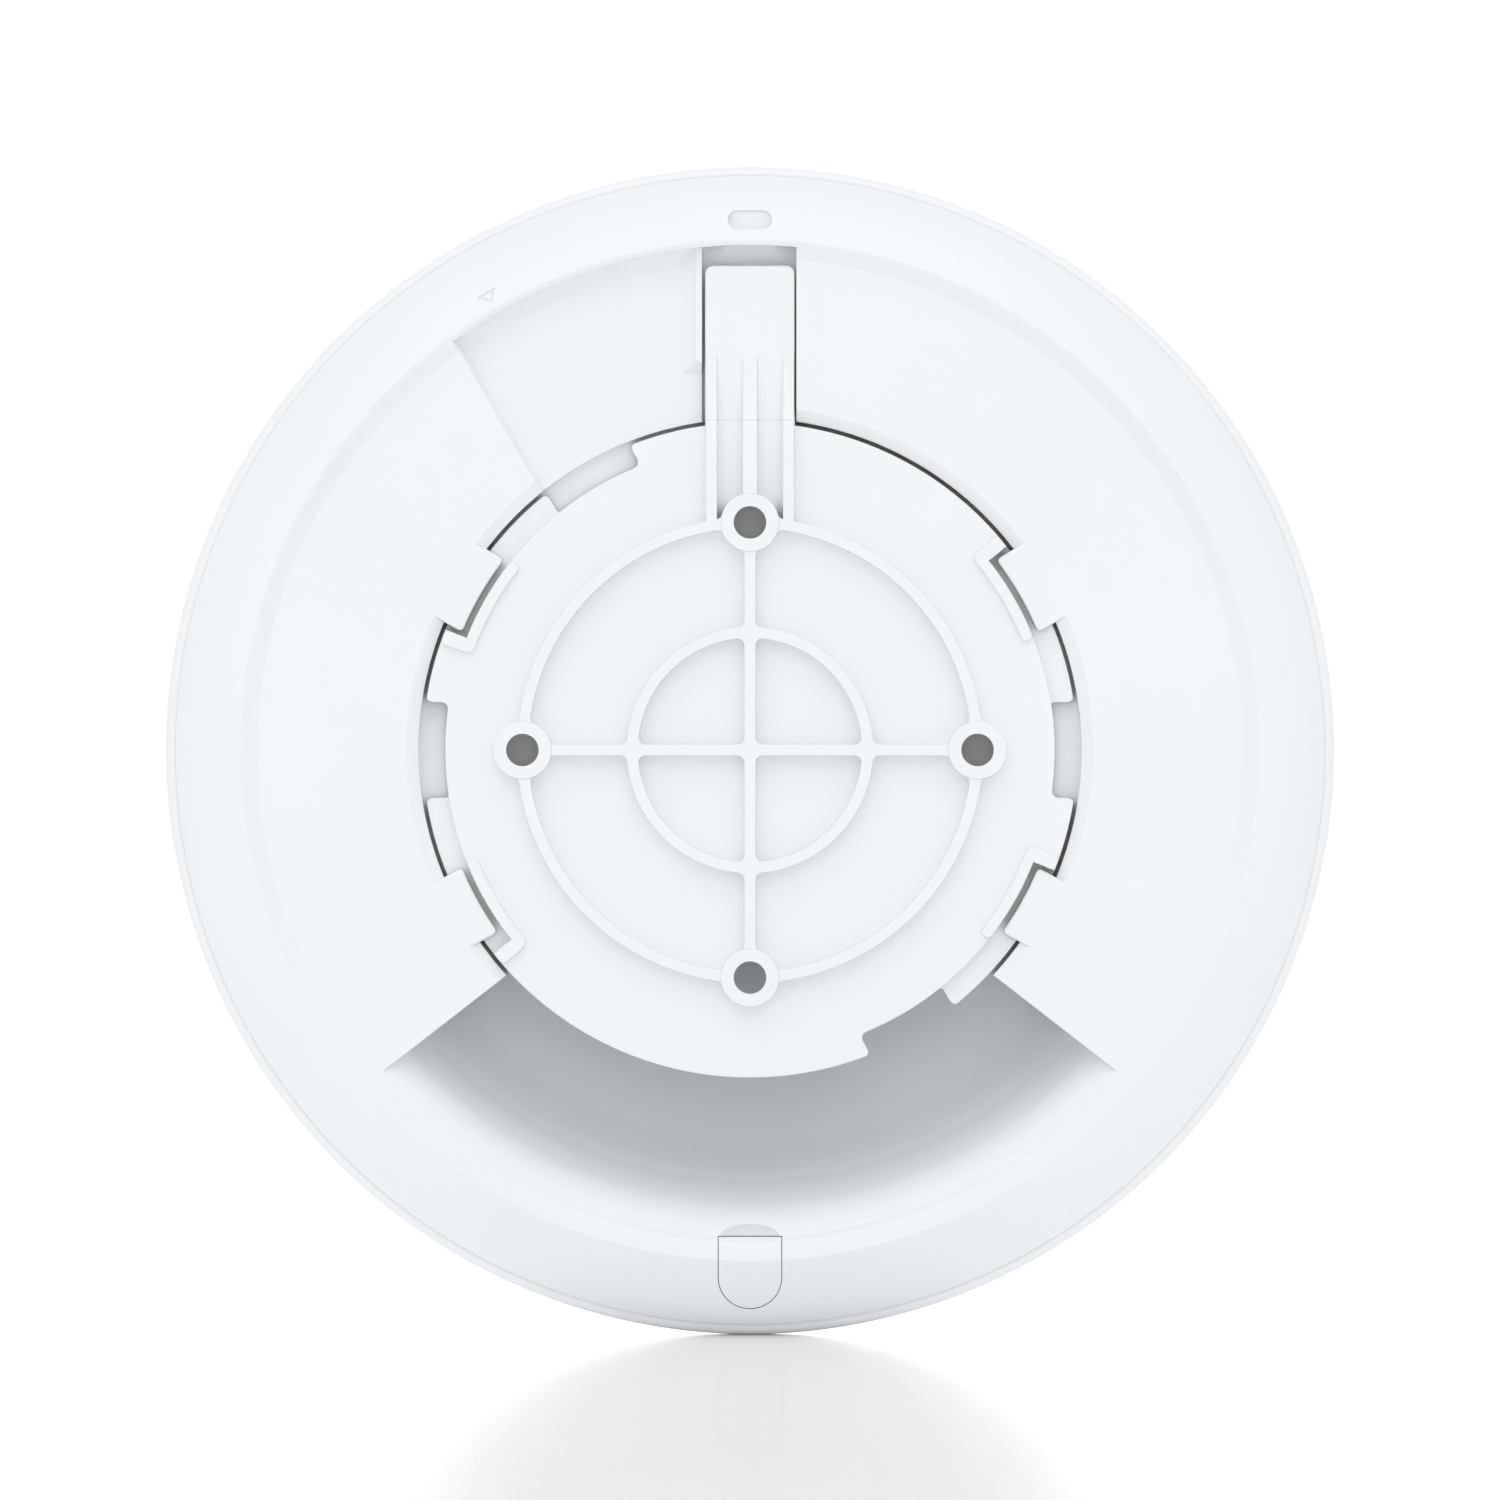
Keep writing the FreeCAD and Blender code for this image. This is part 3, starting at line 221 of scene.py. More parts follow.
# ---------------------------------------------------------------- drawing


def choose(piece):
    """Makes the piece the only one that is selected, and the active one."""
    bpy.ops.object.select_all(action="DESELECT")
    piece.select_set(True)
    bpy.context.view_layer.objects.active = piece


def open_mesh(kind="VERT"):
    """Starts editing the chosen piece with all of it selected."""
    bpy.ops.object.mode_set(mode="EDIT")
    bpy.ops.mesh.select_mode(type=kind)
    bpy.ops.mesh.select_all(action="SELECT")


def close_mesh():
    bpy.ops.object.mode_set(mode="OBJECT")


def polar(r, angle, y=0.0):
    """The point at a radius and an angle."""
    return Vector((-r * sin(radians(angle)), y, r * cos(radians(angle))))


def plan_of(points):
    """The plan points, (x, z), of points in space."""
    return [(p.x, p.z) for p in points]


def on_plan(points, y):
    """Plan points, (x, z), set at a depth."""
    return [Vector((x, y, z)) for x, z in points]


def arc_by_three(start, middle, end, steps):
    """Points along the arc from start to end that goes through middle, without its start."""
    (ax, ay), (bx, by), (cx, cy) = start, middle, end
    d = 2 * (ax * (by - cy) + bx * (cy - ay) + cx * (ay - by))
    sa, sb, sc = ax * ax + ay * ay, bx * bx + by * by, cx * cx + cy * cy
    ux = (sa * (by - cy) + sb * (cy - ay) + sc * (ay - by)) / d
    uy = (sa * (cx - bx) + sb * (ax - cx) + sc * (bx - ax)) / d
    r = hypot(ax - ux, ay - uy)
    a0 = atan2(ay - uy, ax - ux)
    turn = atan2(cy - uy, cx - ux) - a0
    if turn > pi:
        turn -= 2 * pi
    if turn < -pi:
        turn += 2 * pi
    angles = [a0 + turn * n / steps for n in range(1, steps + 1)]
    return [(ux + r * cos(a), uy + r * sin(a)) for a in angles]


def softened(points):
    """An outline whose corners are rounded where a point carries a radius as its third number."""
    soft = []
    for n, point in enumerate(points):
        here = Vector(point[:2])
        if len(point) == 2:
            soft.append(tuple(here))
            continue
        back = (Vector(points[n - 1][:2]) - here).normalized()
        on = (Vector(points[(n + 1) % len(points)][:2]) - here).normalized()
        half = back.angle(on) / 2
        reach = point[2] / tan(half)
        middle = here + (back + on).normalized() * point[2] / sin(half)
        first = here + back * reach - middle
        last = here + on * reach - middle
        for step in range(CORNER_STEPS + 1):
            soft.append(tuple(middle + first.slerp(last, step / CORNER_STEPS) * point[2]))
    return soft


def draw(name, points, closed=True):
    """An outline, drawn by pulling one vertex from point to point."""
    bpy.ops.object.select_all(action="DESELECT")
    bpy.ops.mesh.primitive_plane_add(size=MM, location=(0, 0, 0))
    piece = bpy.context.object
    piece.name = name
    piece.data.name = name
    open_mesh()
    bpy.ops.mesh.merge(type="CENTER")
    bpy.ops.transform.translate(value=points[0] * MM)
    ends = points[1:] + points[:1] if closed else points[1:]
    for here, there in zip(points, ends):
        bpy.ops.mesh.extrude_vertices_move(TRANSFORM_OT_translate={"value": (there - here) * MM})
    bpy.ops.mesh.select_all(action="SELECT")
    bpy.ops.mesh.remove_doubles(threshold=MERGE)
    return piece


def turn_solid(name, section, steps=STEPS):
    """A section, (radius, depth), spun round the object's axis, on which it may start and end."""
    piece = draw(name, [Vector((r, y, 0)) for r, y in section], closed=section[0][0] > 0)
    bpy.ops.mesh.spin(steps=steps, angle=2 * pi, center=(0, 0, 0), axis=(0, 1, 0))
    bpy.ops.mesh.select_all(action="SELECT")
    bpy.ops.mesh.remove_doubles(threshold=MERGE)
    bpy.ops.mesh.normals_make_consistent(inside=False)
    close_mesh()
    return piece


def pull_solid(name, points, move):
    """A flat outline, filled and pulled along a line."""
    piece = draw(name, points)
    bpy.ops.mesh.edge_face_add()
    bpy.ops.mesh.extrude_region_move(TRANSFORM_OT_translate={"value": Vector(move) * MM})
    bpy.ops.mesh.select_all(action="SELECT")
    bpy.ops.mesh.normals_make_consistent(inside=False)
    close_mesh()
    return piece


def plate_of(name, plan, y0, y1):
    """A plan outline made into a plate between two depths."""
    return pull_solid(name, on_plan(plan, y0), (0, y1 - y0, 0))


def side_solid(name, x0, x1, section):
    """A section given by (y, z) points, pulled from x0 to x1."""
    return pull_solid(name, [Vector((x0, y, z)) for y, z in section], (x1 - x0, 0, 0))


def front_solid(name, z0, z1, section):
    """A section given by (x, y) points, pulled from z0 to z1."""
    return pull_solid(name, [Vector((x, y, z0)) for x, y in section], (0, 0, z1 - z0))


def arc(r, a0, a1, steps):
    """Plan points along an arc round the object's axis."""
    return plan_of(polar(r, a0 + (a1 - a0) * n / steps) for n in range(steps + 1))


def ring_sector(r0, r1, a0, a1, steps):
    """The plan of part of a ring."""
    return arc(r1, a0, a1, steps) + arc(r0, a0, a1, steps)[::-1]


def box_plan(x0, x1, z0, z1):
    """The plan of a block."""
    return [(x0, z0), (x1, z0), (x1, z1), (x0, z1)]


def round_bar(r, y0, y1, x=0.0, z=0.0, sides=48):
    """A round bar along Y, from a cylinder."""
    bpy.ops.object.select_all(action="DESELECT")
    bpy.ops.mesh.primitive_cylinder_add(
        vertices=sides, radius=r * MM, depth=(y1 - y0) * MM,
        location=(x * MM, (y0 + y1) / 2 * MM, z * MM), rotation=(pi / 2, 0, 0),
    )
    bpy.ops.object.transform_apply(location=True, rotation=True, scale=True)
    return bpy.context.object


def drop(piece):
    """Takes away a shape that has served."""
    bpy.data.objects.remove(piece, do_unlink=True)


def turned_copy(piece, angle):
    """A copy with its own mesh, turned round the object's axis."""
    choose(piece)
    bpy.ops.object.duplicate()
    copy = bpy.context.object
    open_mesh()
    bpy.ops.transform.rotate(
        value=radians(angle), orient_axis="Y", orient_type="GLOBAL", center_override=(0, 0, 0)
    )
    close_mesh()
    return copy


def combine(piece, tool, way):
    """UNION joins the tool on, DIFFERENCE cuts it out, and INTERSECT keeps what both hold."""
    choose(piece)
    modifier = piece.modifiers.new(way.lower(), "BOOLEAN")
    modifier.operation = way
    modifier.solver = "MANIFOLD"
    modifier.object = tool
    bpy.ops.object.modifier_apply(modifier=modifier.name)
    drop(tool)
    return piece


def combine_turned(piece, tool, angles, way):
    """Combines a copy of the tool at each angle, and drops the tool."""
    for angle in angles:
        combine(piece, turned_copy(tool, angle), way)
    drop(tool)


def round_edges(piece, wanted, width, segments):
    """Rounds each edge whose two ends, in millimetres, are wanted."""
    choose(piece)
    open_mesh("EDGE")
    bpy.ops.mesh.select_all(action="DESELECT")
    close_mesh()
    points = [vertex.co / MM for vertex in piece.data.vertices]
    for edge in piece.data.edges:
        a, b = edge.vertices
        edge.select = bool(wanted(points[a], points[b]))
    bpy.ops.object.mode_set(mode="EDIT")
    bpy.ops.mesh.bevel(offset=width * MM, segments=segments, affect="EDGES", clamp_overlap=True)
    close_mesh()


def at_depth(y):
    """Wants an edge that lies at one depth."""
    return lambda a, b: abs(a.y - y) < NEAR and abs(b.y - y) < NEAR


def upright_near(places, within):
    """Wants an edge that runs straight down near one of some plan points."""

    def wanted(a, b):
        if hypot(a.x - b.x, a.z - b.z) > NEAR:
            return False
        return any(hypot(a.x - x, a.z - z) < within for x, z in places)

    return wanted


def finish_mesh(piece, flat, crease=32.0):
    """Drops the lines on flat faces if it has any, smooths round faces, and keeps the creases."""
    choose(piece)
    open_mesh()
    bpy.ops.mesh.remove_doubles(threshold=MERGE)
    if flat:
        bpy.ops.mesh.dissolve_limited(angle_limit=radians(0.05))
    close_mesh()
    bpy.ops.object.shade_smooth_by_angle(angle=radians(crease))
    modifier = piece.modifiers.new("even shading", "WEIGHTED_NORMAL")
    modifier.keep_sharp = True
    bpy.ops.object.modifier_apply(modifier=modifier.name)


def hand_over(piece, name, body, node, flat=True):
    """Names a finished piece, says what it rides on, and has it stand for its CAD node."""
    finish_mesh(piece, flat)
    piece.name = name
    piece.data.name = name
    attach(piece, body)
    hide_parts(node)
    return piece


# ---------------------------------------------------------------- bracket


def disc_blank():
    """The bracket's round plate with its deeper rim, from a cylinder."""
    disc = round_bar(BRACKET_R, BRACKET_Y, BRACKET_UNDER_Y, sides=STEPS)
    choose(disc)
    open_mesh("FACE")
    bpy.ops.mesh.select_all(action="DESELECT")
    close_mesh()
    for face in disc.data.polygons:
        face.select = face.normal.y > 0.9
    bpy.ops.object.mode_set(mode="EDIT")
    bpy.ops.mesh.inset(thickness=(BRACKET_R - BRACKET_RIM_IN_R) * MM, depth=0)
    rise = (BRACKET_Y + BRACKET_T - BRACKET_UNDER_Y) * MM
    bpy.ops.mesh.extrude_region_move(TRANSFORM_OT_translate={"value": (0, rise, 0)})
    close_mesh()
    return disc


def notch_mouth():
    """What a notch takes out of the edge, at angle 0, with a round floor and soft corners."""
    floor_z = sqrt(NOTCH_FLOOR_R ** 2 - NOTCH_HALF ** 2)
    edge_z = sqrt(BRACKET_R ** 2 - NOTCH_HALF ** 2)
    side = degrees(NOTCH_HALF / NOTCH_FLOOR_R) - 2
    floor = plan_of(polar(NOTCH_FLOOR_R, side * n / 12) for n in range(-12, 13))
    flare = NOTCH_HALF + 2 * NOTCH_CORNER_R
    plan = [
        (NOTCH_HALF, floor_z, NOTCH_CORNER_R), *floor, (-NOTCH_HALF, floor_z, NOTCH_CORNER_R / 2),
        (-NOTCH_HALF, edge_z, NOTCH_CORNER_R), (-flare, edge_z), (-flare, BRACKET_R + 2),
        (flare, BRACKET_R + 2), (flare, edge_z), (NOTCH_HALF, edge_z, NOTCH_CORNER_R),
    ]
    return plate_of("notch", softened(plan), 0, WELL_Y)


def shelf_cut():
    """What is taken off above the shelf beside a notch at angle 0."""
    plan = ring_sector(NOTCH_FLOOR_R, BRACKET_R + 2, SHELF_START, SHELF_END, 24)
    return plate_of("shelf", plan, 0, SHELF_Y)


def stop_blank():
    """The raised L that a tab turns up against, at angle 0, with soft corners and top edges."""
    end = SHELF_END + degrees(STOP_LEG / BRACKET_R)
    inner = arc(STOP_ARC_IN_R, STOP_ARC_START, end, 16)
    outer = arc(NOTCH_FLOOR_R, SHELF_END, STOP_ARC_START, 16)
    tip = plan_of([polar(BRACKET_R, end), polar(BRACKET_R, SHELF_END)])
    plan = [
        (*inner[0], STOP_END_R), *inner[2:15], (*inner[-1], STOP_CORNER_R), (*tip[0], STOP_END_R),
        (*tip[1], STOP_END_R), *outer[:15], (*outer[-1], STOP_END_R),
    ]
    stop = plate_of("stop", softened(plan), STOP_Y, RIB_ROOT_Y)
    round_edges(stop, at_depth(STOP_Y), STOP_EDGE_R, 2)
    return stop


def rib_net():
    """The two ring ribs and the cross, joined to the screw bosses with soft corners between."""
    net = turn_solid("ring rib", outline_of_ring(SCREW_CIRCLE_R), 120)
    combine(net, turn_solid("ring rib", outline_of_ring(INNER_RING_R), 96), "UNION")
    for x, z in ((SCREW_CIRCLE_R, RIB_HALF), (RIB_HALF, SCREW_CIRCLE_R)):
        combine(net, plate_of("bar", box_plan(-x, x, -z, z), RIB_Y, RIB_ROOT_Y), "UNION")
    boss = round_bar(BOSS_R, 0, RIB_ROOT_Y, 0, SCREW_CIRCLE_R, 64)
    for web in boss_webs():
        combine(boss, plate_of("web", web, RIB_Y, RIB_ROOT_Y), "UNION")
    combine_turned(net, boss, QUARTERS, "UNION")
    for web in cross_webs():
        combine_turned(net, plate_of("web", web, RIB_Y, RIB_ROOT_Y), QUARTERS, "UNION")
    return net


def web_plan(middle, on_first, in_first, on_second, in_second, *inside):
    """A corner between two ribs filled up to an arc about its middle. Given from rib to rib."""
    first = on_first - middle
    last = on_second - middle
    arc = [middle + first.slerp(last, n / 6) * WEB_R for n in range(7)]
    return [tuple(point) for point in [in_first, *arc, in_second, *inside]]


def on_circle(away, side):
    """The arc's middle, and the points on and in a ring rib, for a corner at that distance."""
    r = away.length - side * WEB_R
    spot = away.normalized()
    return away, spot * r, spot * (r - side * WEB_DEEP)


def boss_webs():
    """The plans of the soft corners where a boss at angle 0 meets the ring rib and the cross."""
    reach = BOSS_R + WEB_R
    boss = Vector((0, SCREW_CIRCLE_R))
    plans = []
    for side in (1, -1):
        away = SCREW_CIRCLE_R + side * (RIB_HALF + WEB_R)
        z = (SCREW_CIRCLE_R ** 2 + away ** 2 - reach ** 2) / (2 * SCREW_CIRCLE_R)
        corner = on_circle(Vector((sqrt(away ** 2 - z ** 2), z)), side)
        to_boss = (corner[0] - boss).normalized()
        plans.append(web_plan(*corner, boss + to_boss * BOSS_R, boss + to_boss * BOSS_R * 0.8))
    x = RIB_HALF + WEB_R
    middle = Vector((x, SCREW_CIRCLE_R - sqrt(reach ** 2 - x ** 2)))
    to_boss = (middle - boss).normalized()
    plans.append(web_plan(
        middle, Vector((RIB_HALF, middle.y)), Vector((RIB_HALF - WEB_DEEP, middle.y)),
        boss + to_boss * BOSS_R, boss + to_boss * BOSS_R * 0.8,
    ))
    return plans + [[(-x, z) for x, z in plan] for plan in plans]


def cross_webs():
    """The plans of the soft corners in a quarter of the cross: at the inner ring and the middle."""
    x = RIB_HALF + WEB_R
    in_bar = RIB_HALF - WEB_DEEP
    plans = []
    for side in (1, -1):
        away = INNER_RING_R + side * (RIB_HALF + WEB_R)
        z = sqrt(away ** 2 - x ** 2)
        bar = (Vector((RIB_HALF, z)), Vector((in_bar, z)))
        crossing = Vector((in_bar, INNER_RING_R + side * in_bar))
        plans.append(web_plan(*on_circle(Vector((x, z)), side), *bar, crossing))
    plans += [[(-x, z) for x, z in plan] for plan in plans]
    plans.append(web_plan(
        Vector((x, x)), Vector((x, RIB_HALF)), Vector((x, in_bar)), Vector((RIB_HALF, x)),
        Vector((in_bar, x)), Vector((in_bar, in_bar)),
    ))
    return plans


def outline_of_ring(r):
    """The section of a ring rib."""
    inner, outer = r - RIB_HALF, r + RIB_HALF
    return [(inner, RIB_Y), (outer, RIB_Y), (outer, RIB_ROOT_Y), (inner, RIB_ROOT_Y)]


def arm_rib(x0, x1, z0, z1):
    """One of the arm's ribs between two heights: level, then sloping down to the arm."""
    slope = (ARM_Y - RIB_Y) / (ARM_RIB_END_Z - ARM_RIB_HIGH_Z)

    def top(z):
        return RIB_Y + max(0.0, z - ARM_RIB_HIGH_Z) * slope

    side = [(ARM_RIB_ROOT_Y, z0), (top(z0), z0)]
    if z0 < ARM_RIB_HIGH_Z:
        side.append((RIB_Y, ARM_RIB_HIGH_Z))
    side += [(top(z1), z1), (ARM_RIB_ROOT_Y, z1)]
    return side_solid("arm rib", x0, x1, side)


def make_bracket():
    """The bracket: plate, notches, shelves, stops, rib net, screw holes and the arm's stub."""
    disc = disc_blank()
    stub = plate_of(
        "stub", box_plan(-ARM_HALF, ARM_HALF, ARM_STUB_Z, ARM_ROOT_Z), ARM_Y, ARM_UNDER_Y
    )
    combine(disc, stub, "UNION")
    notch, shelf = notch_mouth(), shelf_cut()
    for angle in NOTCHES:
        combine(disc, turned_copy(notch, angle), "DIFFERENCE")
        combine(disc, turned_copy(shelf, angle), "DIFFERENCE")
    drop(notch)
    drop(shelf)
    lead = side_solid("lead", ARM_RIBS[0][1], ARM_RIBS[-1][0], [
        (0, ARM_LEAD_Z), (BRACKET_Y, ARM_LEAD_Z), (ARM_Y, ARM_ROOT_Z), (0, ARM_ROOT_Z + 0.5),
    ])
    combine(disc, lead, "DIFFERENCE")
    net = rib_net()
    for x0, x1 in ARM_RIBS:
        combine(net, arm_rib(x0, x1, SCREW_CIRCLE_R, ARM_ROOT_Z), "UNION")
    combine(disc, net, "UNION")
    combine_turned(disc, stop_blank(), NOTCHES, "UNION")
    for x, z in plan_of(polar(SCREW_CIRCLE_R, angle) for angle in QUARTERS):
        combine(disc, round_bar(SCREW_HOLE_R, -1, WELL_Y, x, z, 64), "DIFFERENCE")
        combine(disc, round_bar(SCREW_HEAD_R, SCREW_SEAT_Y, WELL_Y, x, z, 64), "DIFFERENCE")
    return hand_over(disc, "bracket_disc", "bracket", "mounting_bracket")


def make_arm():
    """The springy tongue with soft corners at its tip, and the ends of its three ribs."""
    plan = [
        (-ARM_HALF, ARM_ROOT_Z), (ARM_HALF, ARM_ROOT_Z), (ARM_HALF, ARM_TIP_Z, ARM_CORNER_R),
        (-ARM_HALF, ARM_TIP_Z, ARM_CORNER_R),
    ]
    arm = plate_of("arm", softened(plan), ARM_Y, ARM_UNDER_Y)

    def soft_top(a, b):
        return at_depth(ARM_Y)(a, b) and max(a.z, b.z) > ARM_ROOT_Z + 1

    round_edges(arm, soft_top, ARM_EDGE_R, 2)
    for x0, x1 in ARM_RIBS:
        combine(arm, arm_rib(x0, x1, ARM_ROOT_Z, ARM_RIB_END_Z), "UNION")
    return hand_over(arm, "latch_arm", "lock_arm", "lock_arm")


# ---------------------------------------------------------------- rear housing


def rear_face():
    """The turned line of the rear, from the well's floor out to the seam."""
    rim = arc_by_three((CREST_R, CREST_Y), RIM_MID, RIM_END, 16)
    return [
        (WELL_R, WELL_Y, WELL_FLOOR_SOFT), (WELL_R, WELL_CHAMFER[1], CHAMFER_SOFT),
        (WELL_CHAMFER[0], PLATE_Y, PLATE_SOFT), (BEVEL_IN_R, PLATE_Y, PLATE_SOFT),
        (CREST_R, CREST_Y, CREST_SOFT), *rim, (RIM_END[0], GROOVE_Y),
    ]


def rear_filled(name, end_y):
    """Everything behind the rear face down to a depth, filled."""
    outline = [(0, WELL_Y), *rear_face(), (LIP_R, GROOVE_Y), (LIP_R, end_y), (0, end_y)]
    return turn_solid(name, softened(outline))


def rear_tray():
    """The turned wall of the housing."""
    floor = WELL_Y + SKIN
    plate = PLATE_Y + SKIN
    outline = [
        (0, WELL_Y), *rear_face(), (LIP_R, GROOVE_Y), (LIP_R, LIP_END_Y), (LIP_IN_R, LIP_END_Y),
        (LIP_IN_R, RIM_END[1]), CREST_UNDER, (CREST_R - SKIN, plate),
        (WELL_CHAMFER[0] + SKIN, plate), (WELL_CHAMFER[0] + SKIN, floor), (0, floor),
    ]
    return turn_solid("tray", softened(outline))


def pocket(grow):
    """The cable pocket's hollow, or with its walls' thickness added, the form round it."""
    def grown(point):
        return (point[0] + grow, point[1] + grow)

    lip = grown(POCKET_LIP)
    wall_end = grown(POCKET_WALL_END)
    shoulder = arc_by_three(lip, *map(grown, POCKET_SHOULDER), 12)
    curve = arc_by_three(wall_end, *map(grown, POCKET_CURVE), 10)
    outline = [(0, -1), (lip[0], -1), lip, *shoulder, wall_end, *curve, (0, POCKET_Y + grow)]
    hollow = turn_solid("pocket", softened(outline))
    x0, z0 = POCKET_SIDE
    slant = hypot(1, POCKET_SLOPE)
    top = POCKET_TOP_Z + grow
    near, far = (x0 + (z0 - z) * POCKET_SLOPE + grow * slant for z in (top, POCKET_FAR_Z))
    plan = [(-near, top), (near, top), (far, POCKET_FAR_Z), (-far, POCKET_FAR_Z)]
    return combine(hollow, plate_of("wedge", plan, -2, POCKET_Y + 4), "INTERSECT")


def arm_room(grow):
    """The recess that the arm's tip turns through, with a soft root at its outer wall."""
    floor = RECESS_Y + grow
    outline = [(0, -1), (RECESS_R + grow, -1), (RECESS_R + grow, floor, RECESS_ROOT_R), (0, floor)]
    room = turn_solid("recess", softened(outline))
    far = RECESS_R + 10
    half = ROOM_HALF + grow
    plan = plate_of("sweep", [(0, 0), *arc(far, 0, RECESS_TURN, 12)], -2, floor + 1)
    slant = RECESS_SLANT / (RECESS_Y - PLATE_Y)
    last = front_solid("last", TAB_IN_R, far, [
        (half, -2), (-half - slant * (floor + 2), -2), (-half + slant, floor + 1),
        (half, floor + 1),
    ])
    combine_turned(plan, last, (RECESS_TURN,), "UNION")
    first = plate_of("first", box_plan(-half, SLOT_RIGHT_X + grow, TAB_IN_R, far), -2, floor + 1)
    combine(plan, first, "UNION")
    combine(plan, round_bar(TAB_IN_R, -3, floor + 2, sides=96), "DIFFERENCE")
    return combine(room, plan, "INTERSECT")


def arm_slot(grow):
    """The deeper slot under the latched arm."""
    floor = SLOT_Y + grow
    outline = [(0, -1), (RECESS_R + grow, -1), (RECESS_R + grow, floor, SLOT_ROOT_R), (0, floor)]
    slot = turn_solid("slot", softened(outline))
    plan = box_plan(CATCH_X[1] - grow, SLOT_RIGHT_X + grow, WELL_R - 0.5 - grow, RECESS_R + 10)
    return combine(slot, plate_of("slot plan", plan, -2, floor + 1), "INTERSECT")


def exit_form(grow, y0, y1):
    """The U of the cable exit."""
    half = EXIT_HALF + grow
    round_end = [
        (half * cos(pi * n / 32), EXIT_ROUND_Z - half * sin(pi * n / 32)) for n in range(33)
    ]
    plan = [(-half, EXIT_TOP_Z + grow), (half, EXIT_TOP_Z + grow)] + round_end
    return plate_of("exit", plan, y0, y1)


def scallop(grow):
    """The finger hollow beside the plug: a ball pressed to an oval."""
    half = SCALLOP_HALF + grow
    deep = SCALLOP_DEEP + grow
    bpy.ops.object.select_all(action="DESELECT")
    bpy.ops.mesh.primitive_uv_sphere_add(
        segments=64, ring_count=32, radius=half * MM, location=(0, 0, 0)
    )
    ball = bpy.context.object
    open_mesh()
    bpy.ops.transform.resize(value=(1, deep / half, deep / half), center_override=(0, 0, 0))
    bpy.ops.transform.translate(value=Vector((0, SCALLOP_Y, EXIT_TOP_Z)) * MM)
    close_mesh()
    return ball


def release_slot():
    """The shallow round-ended slot in the rim."""
    flat = RELEASE_HALF_X - RELEASE_HALF_Z
    h = RELEASE_HALF_Z
    turn = [pi * n / 12 for n in range(13)]
    right = [(flat + h * sin(a), RELEASE_Z - h * cos(a)) for a in turn]
    left = [(-flat - h * sin(a), RELEASE_Z + h * cos(a)) for a in turn]
    return plate_of("release", right + left, -1, RELEASE_FLOOR_Y)


def slot_ramp():
    """The slope in the end of the arm's slot."""
    foot = SLOT_RAMP_FOOT_HALF
    low = SLOT_Y + 0.5
    far = RECESS_R + 0.5
    ramp = side_solid("slot ramp", -foot, foot, [
        (low, SLOT_RAMP_Z), (SLOT_Y, SLOT_RAMP_Z), (SLOT_RAMP_Y, far), (low, far),
    ])
    sides = front_solid("ramp sides", SLOT_RAMP_Z - 1, far + 1, [
        (-foot, low + 1), (-foot, SLOT_Y), (-SLOT_RAMP_HALF, SLOT_RAMP_Y),
        (SLOT_RAMP_HALF, SLOT_RAMP_Y), (foot, SLOT_Y), (foot, low + 1),
    ])
    combine(ramp, sides, "INTERSECT")
    return combine(ramp, round_bar(far, 0, WELL_Y, sides=STEPS), "INTERSECT")


def arrow_mark():
    """A fine line in the rim round a triangle that points at the axis."""
    blank = plate_of("arrow", ARROW_OUTER, 0, 9)
    combine(blank, plate_of("arrow in", ARROW_INNER, -1, 10), "DIFFERENCE")
    crest, middle, end = (
        (r, y + ARROW_DEEP) for r, y in ((CREST_R, CREST_Y), RIM_MID, RIM_END)
    )
    below = arc_by_three(crest, middle, end, 16)
    outline = [(CREST_R, -1), (RIM_END[0] + 1, -1), (RIM_END[0] + 1, end[1])]
    outline += [*below[-2::-1], crest]
    combine(blank, turn_solid("skin", outline), "INTERSECT")
    mark = turned_copy(blank, ARROW_ANGLE)
    drop(blank)
    return mark


def tab_blank(half):
    """A tab that rests on the bracket's shelf, at angle 0. Its inner end is round like the well."""
    z_side = sqrt(TAB_IN_R ** 2 - half ** 2)
    inner = [(half - 2 * half * n / 12) for n in range(13)]
    plan = [(x, sqrt(TAB_IN_R ** 2 - x ** 2)) for x in inner]
    plan += [(-half, WELL_CHAMFER[0] + 0.6), (half, WELL_CHAMFER[0] + 0.6)]
    tab = plate_of("tab", plan, PLATE_Y, PLATE_Y + TAB_T)
    round_edges(tab, upright_near([(half, z_side), (-half, z_side)], 0.05), TAB_CORNER_R, 4)

    def soft_top(a, b):
        return at_depth(PLATE_Y)(a, b) and min(a.z, b.z) < WELL_CHAMFER[0] + 0.5

    round_edges(tab, soft_top, TAB_EDGE_R, 3)
    return tab


